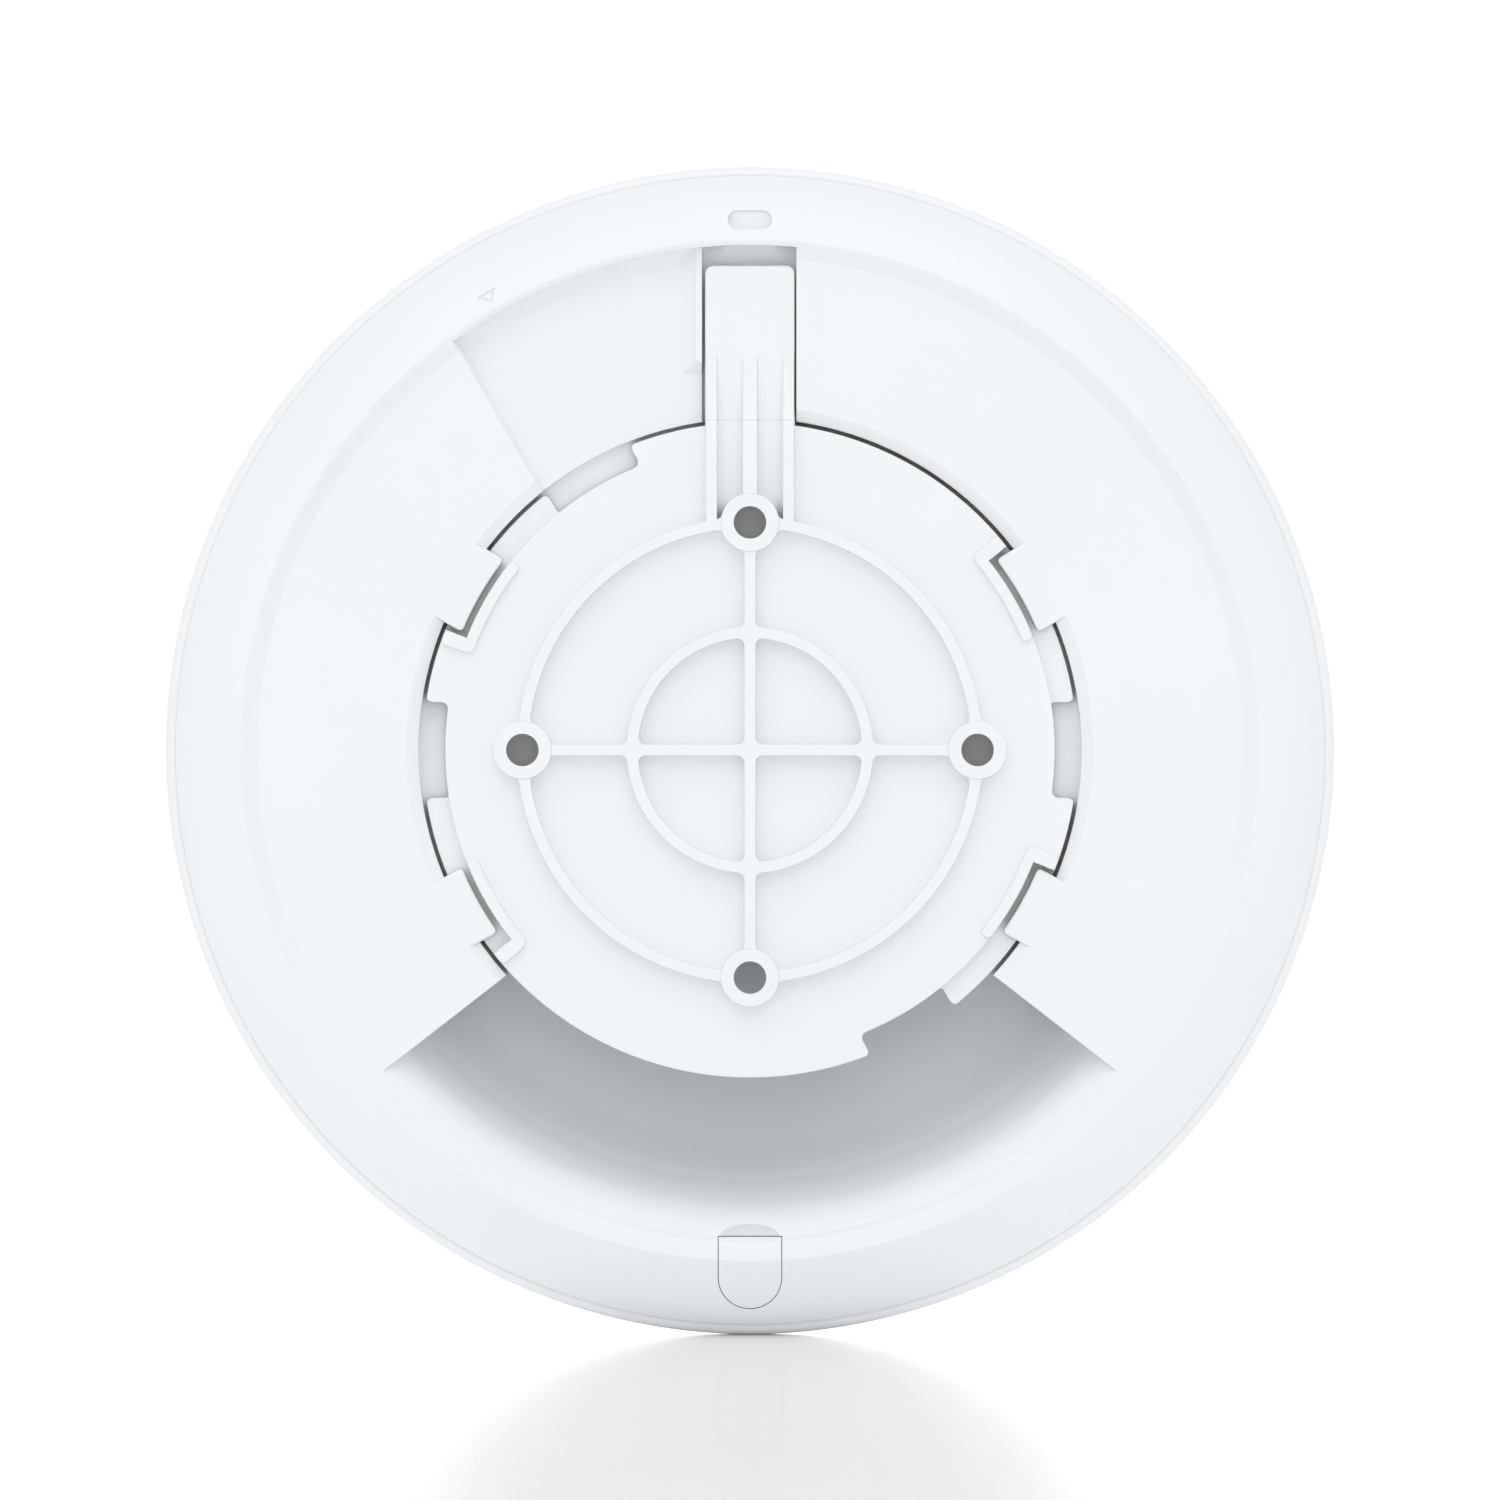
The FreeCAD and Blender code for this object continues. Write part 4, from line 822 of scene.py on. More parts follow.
def catch_rib():
    """The rib that the arm drops behind, its round foot, and the soft ramp that lifts the arm."""
    x0, x1 = CATCH_X
    end = CREST_R
    top = CATCH_Y + CATCH_RAMP_STEP
    low = RECESS_Y + 0.5
    rib = plate_of("catch", softened([
        (x1, CATCH_FOOT_Z), (x1, end), (x0, end), (x0, CATCH_FOOT_Z, CATCH_FOOT_R),
    ]), CATCH_Y, low)
    round_edges(rib, at_depth(CATCH_Y), CATCH_EDGE_R, 2)
    ramp = front_solid("ramp", CATCH_RAMP_Z, end, [
        (x1 - 0.02, top), (x1 - 0.02, low), (CATCH_RAMP_X, low), (CATCH_RAMP_X, RECESS_Y - 0.02),
        (x0 + CATCH_RAMP_STEP, top),
    ])
    foot = side_solid("ramp foot", CATCH_RAMP_X - 1, x1 + 1, [
        (low + 1, CATCH_RAMP_Z), (RECESS_Y, CATCH_RAMP_Z), (top, CATCH_RAMP_HIGH_Z),
        (top - 1, end + 1), (low + 1, end + 1),
    ])
    combine(ramp, foot, "INTERSECT")
    plan = softened([
        (x1 + 1, CATCH_RAMP_Z - 0.1), (x1 + 1, end + 1), (CATCH_RAMP_X - 0.1, end + 1),
        (CATCH_RAMP_X - 0.1, CATCH_RAMP_Z - 0.1, CATCH_RAMP_R),
    ])
    combine(ramp, plate_of("ramp plan", plan, 0, low + 1), "INTERSECT")
    combine(rib, ramp, "UNION")
    return combine(rib, round_bar(RECESS_R + 0.5, 0, WELL_Y, sides=STEPS), "INTERSECT")


def make_rear_shell():
    """The housing: a turned tray, walls round all that is sunk into it, and then the sinking."""
    behind = rear_filled("behind", SPREADER_Y + 1)
    walls = pocket(SKIN)
    side = RELEASE_HALF_X + SKIN
    release = box_plan(-side, side, RECESS_R, RELEASE_Z + RELEASE_HALF_Z + SKIN)
    linings = [
        arm_room(SKIN), arm_slot(SKIN), exit_form(SKIN, 0, EXIT_FLOOR_Y + SKIN), scallop(SKIN),
        plate_of("release wall", release, 0, RELEASE_FLOOR_Y + SKIN),
    ]
    for x, z in BOARD_POSTS:
        linings.append(round_bar(POST_R, WELL_Y + SKIN / 2, BOARD_Y, x, z, 32))
    for x, z in SPREADER_POSTS:
        linings.append(round_bar(POST_R, PLATE_Y + SKIN / 2, SPREADER_Y, x, z, 32))
    for lining in linings:
        combine(walls, lining, "UNION")
    combine(walls, round_bar(LIP_R - SKIN, -2, SPREADER_Y, sides=STEPS), "INTERSECT")
    combine(walls, behind, "INTERSECT")
    shell = rear_tray()
    combine(shell, walls, "UNION")
    cutters = [
        pocket(0), arm_room(0), arm_slot(0), release_slot(), arrow_mark(), scallop(0),
        exit_form(0, -1, EXIT_FLOOR_Y),
    ]
    for cutter in cutters:
        combine(shell, cutter, "DIFFERENCE")
    for angle, half in TABS:
        combine_turned(shell, tab_blank(half), (angle,), "UNION")
    combine(shell, catch_rib(), "UNION")
    combine(shell, slot_ramp(), "UNION")
    for hole in wall_holes():
        combine(shell, hole, "DIFFERENCE")
    return hand_over(shell, "rear_shell", "housing", "rear_housing")


def wall_holes():
    """What is cut for the jack, the reset button and the screws."""
    near, far = POCKET_TOP_Z - 1, POCKET_TOP_Z + SKIN + 1
    jack = box_plan(-JACK_WAY_HALF, JACK_WAY_HALF, near, far)
    holes = [plate_of("jack way", jack, BOARD_Y - JACK_WAY_H, BOARD_Y + 0.3)]
    turn = [2 * pi * n / 32 for n in range(32)]
    holes.append(front_solid("button way", near, far, [
        (BUTTON_X + BUTTON_HOLE_R * cos(a), BUTTON_Y + BUTTON_HOLE_R * sin(a)) for a in turn
    ]))
    for places, end in ((BOARD_POSTS, BOARD_Y), (SPREADER_POSTS, SPREADER_Y)):
        for x, z in places:
            holes.append(round_bar(POST_HOLE_R, end - POST_HOLE_DEEP, end + 1, x, z, 24))
    return holes


def make_plug():
    """The plug in the cable exit. Its face carries on the rim, the crest and the pocket's lip."""
    plug = exit_form(-EXIT_GAP, 0, EXIT_FLOOR_Y - EXIT_GAP)
    combine(plug, rear_filled("behind", POCKET_Y), "INTERSECT")
    combine(plug, pocket(0), "DIFFERENCE")
    hollow = exit_form(-EXIT_GAP - PLUG_SKIN, PLUG_FACE_END_Y, EXIT_FLOOR_Y)
    keep = box_plan(-EXIT_HALF, EXIT_HALF, PLUG_HOLLOW_Z, 0)
    combine(hollow, plate_of("keep", keep, 0, EXIT_FLOOR_Y + 1), "INTERSECT")
    combine(plug, hollow, "DIFFERENCE")
    return hand_over(plug, "exit_plug", "cable_plug", "cable_exit_plug")


# ---------------------------------------------------------------- cover and light


def dome_line(inset):
    """The dome's line from its side to the axis: a straight side, a shoulder, and a flat crown."""
    side_y = COVER_SIDE_Y[1]
    c = BODY_R - SHOULDER_R
    rise = BODY_DEPTH - side_y
    crown_r = (c * c + rise * rise - SHOULDER_R ** 2) / (2 * (rise - SHOULDER_R))
    turn = atan2(side_y - (BODY_DEPTH - crown_r), c)
    line = []
    for n in range(25):
        a = turn * n / 24
        line.append((c + (SHOULDER_R - inset) * cos(a), side_y + (SHOULDER_R - inset) * sin(a)))
    for n in range(1, 33):
        a = turn + (pi / 2 - turn) * n / 32
        line.append(((crown_r - inset) * cos(a), BODY_DEPTH - crown_r + (crown_r - inset) * sin(a)))
    line[-1] = (0, BODY_DEPTH - inset)
    return line


def crown_between(r_in, r_out):
    """The dome's line between two radii, from the outside in."""
    line = dome_line(0)
    crown_y = {}
    for r in (r_in, r_out):
        for (ra, ya), (rb, yb) in zip(line, line[1:]):
            if ra >= r >= rb:
                crown_y[r] = ya + (yb - ya) * (ra - r) / (ra - rb)
    inside = [p for p in line if r_in < p[0] < r_out]
    return [(r_out, crown_y[r_out])] + inside + [(r_in, crown_y[r_in])]


def make_cover():
    """The domed cover: a turned shell with a hole for the light ring."""
    hole = LIGHT_R[1]
    outer = crown_between(hole, BODY_R)
    inner = [p for p in dome_line(COVER_T) if p[0] > hole]
    edge = arc_by_three(COVER_EDGE, COVER_EDGE_MID, (BODY_R, COVER_SIDE_Y[0]), 6)
    outline = [(COVER_LIP_IN_R, COVER_EDGE[1]), COVER_EDGE, *edge, (BODY_R, COVER_SIDE_Y[1])]
    outline += [*outer[1:-1], (*outer[-1], SEAM_SOFT), (hole, inner[-1][1]), *inner[::-1]]
    outline += [(COVER_LIP_IN_R, COVER_SIDE_Y[1])]
    cover = turn_solid("cover", softened(outline))
    return hand_over(cover, "dome_cover", "housing", "front_cover", flat=False)


def make_light_ring():
    """The milky ring let into the dome, a hair's breadth clear on both sides."""
    crown = crown_between(LIGHT_R[0] + LIGHT_GAP, LIGHT_R[1] - LIGHT_GAP)
    outline = [(*crown[0], LIGHT_SOFT), *crown[1:-1], (*crown[-1], LIGHT_SOFT)]
    outline += [(crown[-1][0], LIGHT_END_Y), (crown[0][0], LIGHT_END_Y)]
    ring = turn_solid("ring", softened(outline))
    return hand_over(ring, "halo_ring", "housing", "light_ring", flat=False)


def make_cap():
    """The round middle of the dome."""
    crown = crown_between(0, LIGHT_R[0])
    outline = [(0, CAP_UNDER_Y), (LIGHT_R[0], CAP_UNDER_Y), (*crown[0], SEAM_SOFT), *crown[1:]]
    cap = turn_solid("cap", softened(outline))
    return hand_over(cap, "crown_cap", "housing", "centre_cap", flat=False)


# ---------------------------------------------------------------- camera, light and floor

# These are in the scene's metres
CAMERA_DISTANCE = 4.0
FRAME_WIDTH = 0.2646  # what the camera takes in at the depth of the body's edge
EDGE_DEPTH = 0.0155
SENSOR = 0.036
FLOOR_SIZE = 40.0
SHADOW_REACH = 0.055

FILL = 0.742  # strength of the even light from all round
FILL_COLOUR = (0.965, 0.985, 1.0, 1)
BACKDROP = 1.05  # how bright the room is where it is seen
OVERHEAD = (0.81, 40, -3, 75)  # strength, two turns and spread of the broad light from above
ROOM_SIDE = (1.0, -70, 0, 40)  # and of the light on the dome
TABLE_GLOW = 0.9  # with the dim matt part it just makes white
TABLE_DIM = 0.12
SHADOW_CORE = 0.13
SHADOW_EDGE = 0.5
MIRROR = 0.58
MIRROR_BLUR = 0.12
MIRROR_IOR = 1.2  # low, so that the table mirrors only at a low angle
COLUMN = 280  # how far apart nodes are set out
ROW = 260


def grey(level):
    """A grey as a node's colour."""
    return (level, level, level, 1)


def make_camera():
    """A long lens, square to the rear face."""
    data = bpy.data.cameras.new("camera")
    data.sensor_width = SENSOR / MM
    data.lens = SENSOR / MM * (CAMERA_DISTANCE + EDGE_DEPTH) / FRAME_WIDTH
    data.clip_start = 0.1
    data.clip_end = 100.0
    camera = bpy.data.objects.new("camera", data)
    camera.location = (0, -CAMERA_DISTANCE, 0)
    camera.rotation_euler = (pi / 2, 0, 0)
    bpy.context.scene.collection.objects.link(camera)
    bpy.context.scene.camera = camera


def soft_sun(name, power, tilt, sway, spread):
    """A very broad, even light from far off. It shines down before it is turned."""
    data = bpy.data.lights.new(name, "SUN")
    data.energy = power
    data.angle = radians(spread)
    light = bpy.data.objects.new(name, data)
    light.rotation_euler = (radians(tilt), radians(sway), 0)
    bpy.context.scene.collection.objects.link(light)


def make_world():
    """White where it is seen or mirrored, and dimmer as a light, so that the suns give form."""
    world = bpy.data.worlds.new("studio")
    world.use_nodes = True
    tree = world.node_tree
    tree.nodes.clear()
    path = tree.nodes.new("ShaderNodeLightPath")
    path.label = "what looks at the room"
    seen = tree.nodes.new("ShaderNodeMath")
    seen.label = "seen or mirrored"
    seen.operation = "MAXIMUM"
    fill = tree.nodes.new("ShaderNodeBackground")
    fill.label = "fill light"
    fill.inputs["Color"].default_value = FILL_COLOUR
    fill.inputs["Strength"].default_value = FILL
    white = tree.nodes.new("ShaderNodeBackground")
    white.label = "white backdrop"
    white.inputs["Color"].default_value = grey(1)
    white.inputs["Strength"].default_value = BACKDROP
    mix = tree.nodes.new("ShaderNodeMixShader")
    mix.label = "backdrop where it is seen"
    out = tree.nodes.new("ShaderNodeOutputWorld")
    for n, node in enumerate((path, seen, fill, white, mix, out)):
        node.location = (COLUMN * n, 0)
    tree.links.new(path.outputs["Is Camera Ray"], seen.inputs[0])
    tree.links.new(path.outputs["Is Glossy Ray"], seen.inputs[1])
    tree.links.new(seen.outputs[0], mix.inputs["Fac"])
    tree.links.new(fill.outputs[0], mix.inputs[1])
    tree.links.new(white.outputs[0], mix.inputs[2])
    tree.links.new(mix.outputs[0], out.inputs["Surface"])
    bpy.context.scene.world = world


def floor_material():
    """A white light table: it glows for the eye, with painted shadow under the body, and mirrors
    it.
    """
    material = bpy.data.materials.new("studio_floor")
    material.use_nodes = True
    tree = material.node_tree
    tree.nodes.clear()
    matt = tree.nodes.new("ShaderNodeBsdfDiffuse")
    matt.label = "matt white, as light falls on it"
    matt.inputs["Color"].default_value = grey(1)
    dim = tree.nodes.new("ShaderNodeBsdfDiffuse")
    dim.label = "what is left of it for the eye"
    dim.inputs["Color"].default_value = grey(TABLE_DIM)
    openness = tree.nodes.new("ShaderNodeAmbientOcclusion")
    openness.label = "how open the table is above"
    openness.samples = 16
    openness.inputs["Distance"].default_value = SHADOW_REACH
    # Painted shadow: the table's glow is darkened where the body closes it in from above.
    contact = tree.nodes.new("ShaderNodeValToRGB")
    contact.label = "contact shadow"
    contact.color_ramp.elements[0].position = 0.15
    contact.color_ramp.elements[0].color = grey(SHADOW_CORE)
    contact.color_ramp.elements[1].position = 0.95
    contact.color_ramp.elements[1].color = grey(TABLE_GLOW)
    half_open = contact.color_ramp.elements.new(0.5)
    half_open.color = grey(SHADOW_EDGE)
    glow = tree.nodes.new("ShaderNodeEmission")
    glow.label = "glow with the painted contact shadow"
    table = tree.nodes.new("ShaderNodeAddShader")
    table.label = "light table"
    gloss = tree.nodes.new("ShaderNodeBsdfGlossy")
    gloss.label = "mirror image"
    gloss.inputs["Roughness"].default_value = MIRROR_BLUR
    graze = tree.nodes.new("ShaderNodeFresnel")
    graze.label = "mirrors only at a low angle"
    graze.inputs["IOR"].default_value = MIRROR_IOR
    faint = tree.nodes.new("ShaderNodeMath")
    faint.label = "faint gloss"
    faint.operation = "MULTIPLY"
    faint.inputs[1].default_value = MIRROR
    mirror = tree.nodes.new("ShaderNodeMixShader")
    mirror.label = "table with its gloss"
    path = tree.nodes.new("ShaderNodeLightPath")
    path.label = "what only the eye gets"
    both = tree.nodes.new("ShaderNodeMixShader")
    both.label = "matt for light, glowing for the eye"
    out = tree.nodes.new("ShaderNodeOutputMaterial")
    for n, node in enumerate((
        openness, contact, glow, dim, table, graze, faint, gloss, mirror, path, matt, both, out,
    )):
        node.location = (COLUMN * n, 0)
    tree.links.new(graze.outputs["Fac"], faint.inputs[0])
    tree.links.new(faint.outputs["Value"], mirror.inputs["Fac"])
    tree.links.new(openness.outputs["AO"], contact.inputs["Fac"])
    tree.links.new(contact.outputs["Color"], glow.inputs["Color"])
    tree.links.new(glow.outputs[0], table.inputs[0])
    tree.links.new(dim.outputs[0], table.inputs[1])
    tree.links.new(table.outputs[0], mirror.inputs[1])
    tree.links.new(gloss.outputs[0], mirror.inputs[2])
    tree.links.new(path.outputs["Is Camera Ray"], both.inputs["Fac"])
    tree.links.new(matt.outputs[0], both.inputs[1])
    tree.links.new(mirror.outputs[0], both.inputs[2])
    tree.links.new(both.outputs[0], out.inputs["Surface"])
    return material


def make_studio():
    """The floor that the body stands on, the lights, the room and the camera."""
    bpy.ops.object.select_all(action="DESELECT")
    bpy.ops.mesh.primitive_plane_add(size=FLOOR_SIZE, location=(0, 0, cad_box[0].z))
    floor = bpy.context.object
    floor.name = "studio_floor"
    floor.data.materials.append(floor_material())
    floor.visible_shadow = False
    soft_sun("overhead", *OVERHEAD)
    soft_sun("room side", *ROOM_SIDE)
    make_world()
    make_camera()
    bpy.context.scene.view_settings.view_transform = "Standard"


# ---------------------------------------------------------------- finishes

WHITE_RESIN = (0.885, 0.896, 0.903)
# painted shade that darkens the deep floor of the cable pocket
POCKET_PAINTED_SHADE = (0.76, 0.765, 0.77)
POCKET_SHADE_Y = 20.5  # where the pocket begins to darken
MOULD_GRAIN = 5200
HOLLOW_REACH = 3 * MM
MOULDED_EDGE_R = 0.2 * MM
MOULD_GRAIN_HIGH = 0.04 * MM
COPPER_HIGH = 0.04 * MM


def new_finish(name):
    """A material with an empty node tree."""
    material = bpy.data.materials.new(name)
    material.use_nodes = True
    material.node_tree.nodes.clear()
    return material, material.node_tree.nodes, material.node_tree.links


def lay_out(nodes, groups):
    """Frames the nodes by effect and sets them out in columns."""
    x = 0
    for label, members in groups:
        holder = nodes.new("NodeFrame")
        holder.label = label
        for row, node in enumerate(members):
            node.parent = holder
            node.location = (x, -ROW * row)
        x += COLUMN


def moulded_plastic(name, colour, roughness, grain, hollow_reach):
    """Moulded plastic: spark-eroded grain, faint flow clouds, soft edges, shade in its hollows.

    The deep end of the cable pocket is darkened by painted shade, between two depths from the
    ceiling.
    """
    material, nodes, links = new_finish(name)
    place = nodes.new("ShaderNodeTexCoord")
    place.label = "place on the moulding"
    cloud = nodes.new("ShaderNodeTexNoise")
    cloud.label = "flow clouds in the melt"
    cloud.inputs["Scale"].default_value = 30
    cloud.inputs["Detail"].default_value = 3
    tint = nodes.new("ShaderNodeValToRGB")
    tint.label = "tint of the resin"
    tint.color_ramp.elements[0].position = 0.3
    tint.color_ramp.elements[0].color = (*[c * 0.985 for c in colour], 1)
    tint.color_ramp.elements[1].position = 0.7
    tint.color_ramp.elements[1].color = (*colour, 1)
    openness = nodes.new("ShaderNodeAmbientOcclusion")
    openness.label = "how open the spot is"
    openness.samples = 8
    openness.inputs["Distance"].default_value = hollow_reach
    shade = nodes.new("ShaderNodeValToRGB")
    shade.label = "how dark a hollow gets"
    shade.color_ramp.interpolation = "LINEAR"
    shade.color_ramp.elements[0].position = 0.0
    shade.color_ramp.elements[0].color = (0.03, 0.032, 0.032, 1)
    shade.color_ramp.elements[1].position = 0.26
    shade.color_ramp.elements[1].color = (1, 1, 1, 1)
    half_dark = shade.color_ramp.elements.new(0.1)
    half_dark.color = (0.3, 0.305, 0.307, 1)
    shaded = nodes.new("ShaderNodeMix")
    shaded.label = "resin with its hollows shaded"
    shaded.data_type = "RGBA"
    shaded.blend_type = "MULTIPLY"
    shaded.inputs[0].default_value = 1.0
    # Painted shade: the resin darkens with depth towards the pocket's floor.
    split = nodes.new("ShaderNodeSeparateXYZ")
    split.label = "depth from the ceiling"
    sunk = nodes.new("ShaderNodeValToRGB")
    sunk.label = "shade in the pocket's floor"
    sunk.color_ramp.elements[0].position = 0.0
    sunk.color_ramp.elements[0].color = (1, 1, 1, 1)
    sunk.color_ramp.elements[1].position = 1.0
    sunk.color_ramp.elements[1].color = (*POCKET_PAINTED_SHADE, 1)
    reach = nodes.new("ShaderNodeMapRange")
    reach.label = "from the wall's end to the floor"
    reach.inputs["From Min"].default_value = POCKET_SHADE_Y * MM
    reach.inputs["From Max"].default_value = POCKET_Y * MM
    deep = nodes.new("ShaderNodeMix")
    deep.label = "resin with the pocket shaded"
    deep.data_type = "RGBA"
    deep.blend_type = "MULTIPLY"
    deep.inputs[0].default_value = 1.0
    polish = nodes.new("ShaderNodeMapRange")
    polish.label = "uneven polish"
    polish.inputs["To Min"].default_value = roughness - 0.035
    polish.inputs["To Max"].default_value = roughness + 0.035
    spark = nodes.new("ShaderNodeTexNoise")
    spark.label = "spark-eroded mould grain"
    spark.inputs["Scale"].default_value = grain
    spark.inputs["Detail"].default_value = 4
    spark.inputs["Roughness"].default_value = 0.6
    edge = nodes.new("ShaderNodeBevel")
    edge.label = "moulded edges are never sharp"
    edge.samples = 4
    edge.inputs["Radius"].default_value = MOULDED_EDGE_R
    bump = nodes.new("ShaderNodeBump")
    bump.label = "grain stands up"
    bump.inputs["Strength"].default_value = 0.12
    bump.inputs["Distance"].default_value = MOULD_GRAIN_HIGH
    shader = nodes.new("ShaderNodeBsdfPrincipled")
    shader.label = name.replace("_", " ")
    shader.inputs["IOR"].default_value = 1.49
    shader.inputs["Specular IOR Level"].default_value = 0.42
    out = nodes.new("ShaderNodeOutputMaterial")
    links.new(place.outputs["Object"], cloud.inputs["Vector"])
    links.new(place.outputs["Object"], spark.inputs["Vector"])
    links.new(cloud.outputs["Fac"], tint.inputs["Fac"])
    links.new(openness.outputs["AO"], shade.inputs["Fac"])
    links.new(tint.outputs["Color"], shaded.inputs[6])
    links.new(shade.outputs["Color"], shaded.inputs[7])
    links.new(cloud.outputs["Fac"], polish.inputs["Value"])
    links.new(spark.outputs["Fac"], bump.inputs["Height"])
    links.new(edge.outputs["Normal"], bump.inputs["Normal"])
    links.new(place.outputs["Object"], split.inputs["Vector"])
    links.new(split.outputs["Y"], reach.inputs["Value"])
    links.new(reach.outputs["Result"], sunk.inputs["Fac"])
    links.new(shaded.outputs[2], deep.inputs[6])
    links.new(sunk.outputs["Color"], deep.inputs[7])
    links.new(deep.outputs[2], shader.inputs["Base Color"])
    links.new(polish.outputs["Result"], shader.inputs["Roughness"])
    links.new(bump.outputs["Normal"], shader.inputs["Normal"])
    links.new(shader.outputs["BSDF"], out.inputs["Surface"])
    lay_out(nodes, (
        ("where", (place,)), ("resin", (cloud, tint, polish)),
        ("hollows", (openness, shade, shaded)), ("pocket", (split, reach, sunk, deep)),
        ("grain and edges", (spark, edge, bump)), ("surface", (shader, out)),
    ))
    return material


def light_guide(name):
    """Milky clear plastic that spreads the light: cloudy inside, smooth outside."""
    material, nodes, links = new_finish(name)
    place = nodes.new("ShaderNodeTexCoord")
    place.label = "place on the ring"
    haze = nodes.new("ShaderNodeTexNoise")
    haze.label = "haze in the resin"
    haze.inputs["Scale"].default_value = 220
    milk = nodes.new("ShaderNodeValToRGB")
    milk.label = "milky tint"
    milk.color_ramp.elements[0].color = (0.74, 0.79, 0.86, 1)
    milk.color_ramp.elements[1].color = (0.82, 0.86, 0.91, 1)
    wave = nodes.new("ShaderNodeBump")
    wave.label = "slight waviness"
    wave.inputs["Strength"].default_value = 0.05
    wave.inputs["Distance"].default_value = 0.0001
    shader = nodes.new("ShaderNodeBsdfPrincipled")
    shader.label = "light guide"
    shader.inputs["Roughness"].default_value = 0.22
    shader.inputs["IOR"].default_value = 1.58
    shader.inputs["Subsurface Weight"].default_value = 0.35
    shader.inputs["Subsurface Radius"].default_value = (1.0, 1.0, 1.0)
    shader.inputs["Subsurface Scale"].default_value = 0.0015
    out = nodes.new("ShaderNodeOutputMaterial")
    links.new(place.outputs["Object"], haze.inputs["Vector"])
    links.new(haze.outputs["Fac"], milk.inputs["Fac"])
    links.new(haze.outputs["Fac"], wave.inputs["Height"])
    links.new(milk.outputs["Color"], shader.inputs["Base Color"])
    links.new(wave.outputs["Normal"], shader.inputs["Normal"])
    links.new(shader.outputs["BSDF"], out.inputs["Surface"])
    lay_out(nodes, (("where", (place,)), ("milk", (haze, milk, wave)), ("surface", (shader, out))))
    return material


def worked_metal(name, colour, roughness, stretch, depth):
    """Sheet, plate or cast metal: a grain that may be drawn out one way, and dull patches."""
    material, nodes, links = new_finish(name)
    place = nodes.new("ShaderNodeTexCoord")
    place.label = "place on the metal"
    lay = nodes.new("ShaderNodeMapping")
    lay.label = "which way the grain runs"
    lay.inputs["Scale"].default_value = stretch
    grain = nodes.new("ShaderNodeTexNoise")
    grain.label = "rolled or blasted grain"
    grain.inputs["Scale"].default_value = 1600
    grain.inputs["Detail"].default_value = 5
    patch = nodes.new("ShaderNodeTexNoise")
    patch.label = "dull patches"
    patch.inputs["Scale"].default_value = 70
    patch.inputs["Detail"].default_value = 3
    tone = nodes.new("ShaderNodeValToRGB")
    tone.label = "tarnish to bright"
    tone.color_ramp.elements[0].position = 0.25
    tone.color_ramp.elements[0].color = (*[c * 0.82 for c in colour], 1)
    tone.color_ramp.elements[1].position = 0.75
    tone.color_ramp.elements[1].color = (*colour, 1)
    dull = nodes.new("ShaderNodeMapRange")
    dull.label = "patchy shine"
    dull.inputs["To Min"].default_value = roughness - 0.07
    dull.inputs["To Max"].default_value = roughness + 0.09
    relief = nodes.new("ShaderNodeBump")
    relief.label = "grain relief"
    relief.inputs["Strength"].default_value = 0.2
    relief.inputs["Distance"].default_value = depth
    shader = nodes.new("ShaderNodeBsdfPrincipled")
    shader.label = name.replace("_", " ")
    shader.inputs["Metallic"].default_value = 1.0
    out = nodes.new("ShaderNodeOutputMaterial")
    links.new(place.outputs["Object"], lay.inputs["Vector"])
    links.new(lay.outputs["Vector"], grain.inputs["Vector"])
    links.new(place.outputs["Object"], patch.inputs["Vector"])
    links.new(patch.outputs["Fac"], tone.inputs["Fac"])
    links.new(patch.outputs["Fac"], dull.inputs["Value"])
    links.new(grain.outputs["Fac"], relief.inputs["Height"])
    links.new(tone.outputs["Color"], shader.inputs["Base Color"])
    links.new(dull.outputs["Result"], shader.inputs["Roughness"])
    links.new(relief.outputs["Normal"], shader.inputs["Normal"])
    links.new(shader.outputs["BSDF"], out.inputs["Surface"])
    lay_out(nodes, (
        ("where", (place, lay)), ("grain", (grain, relief)), ("patches", (patch, tone, dull)),
        ("surface", (shader, out)),
    ))
    return material


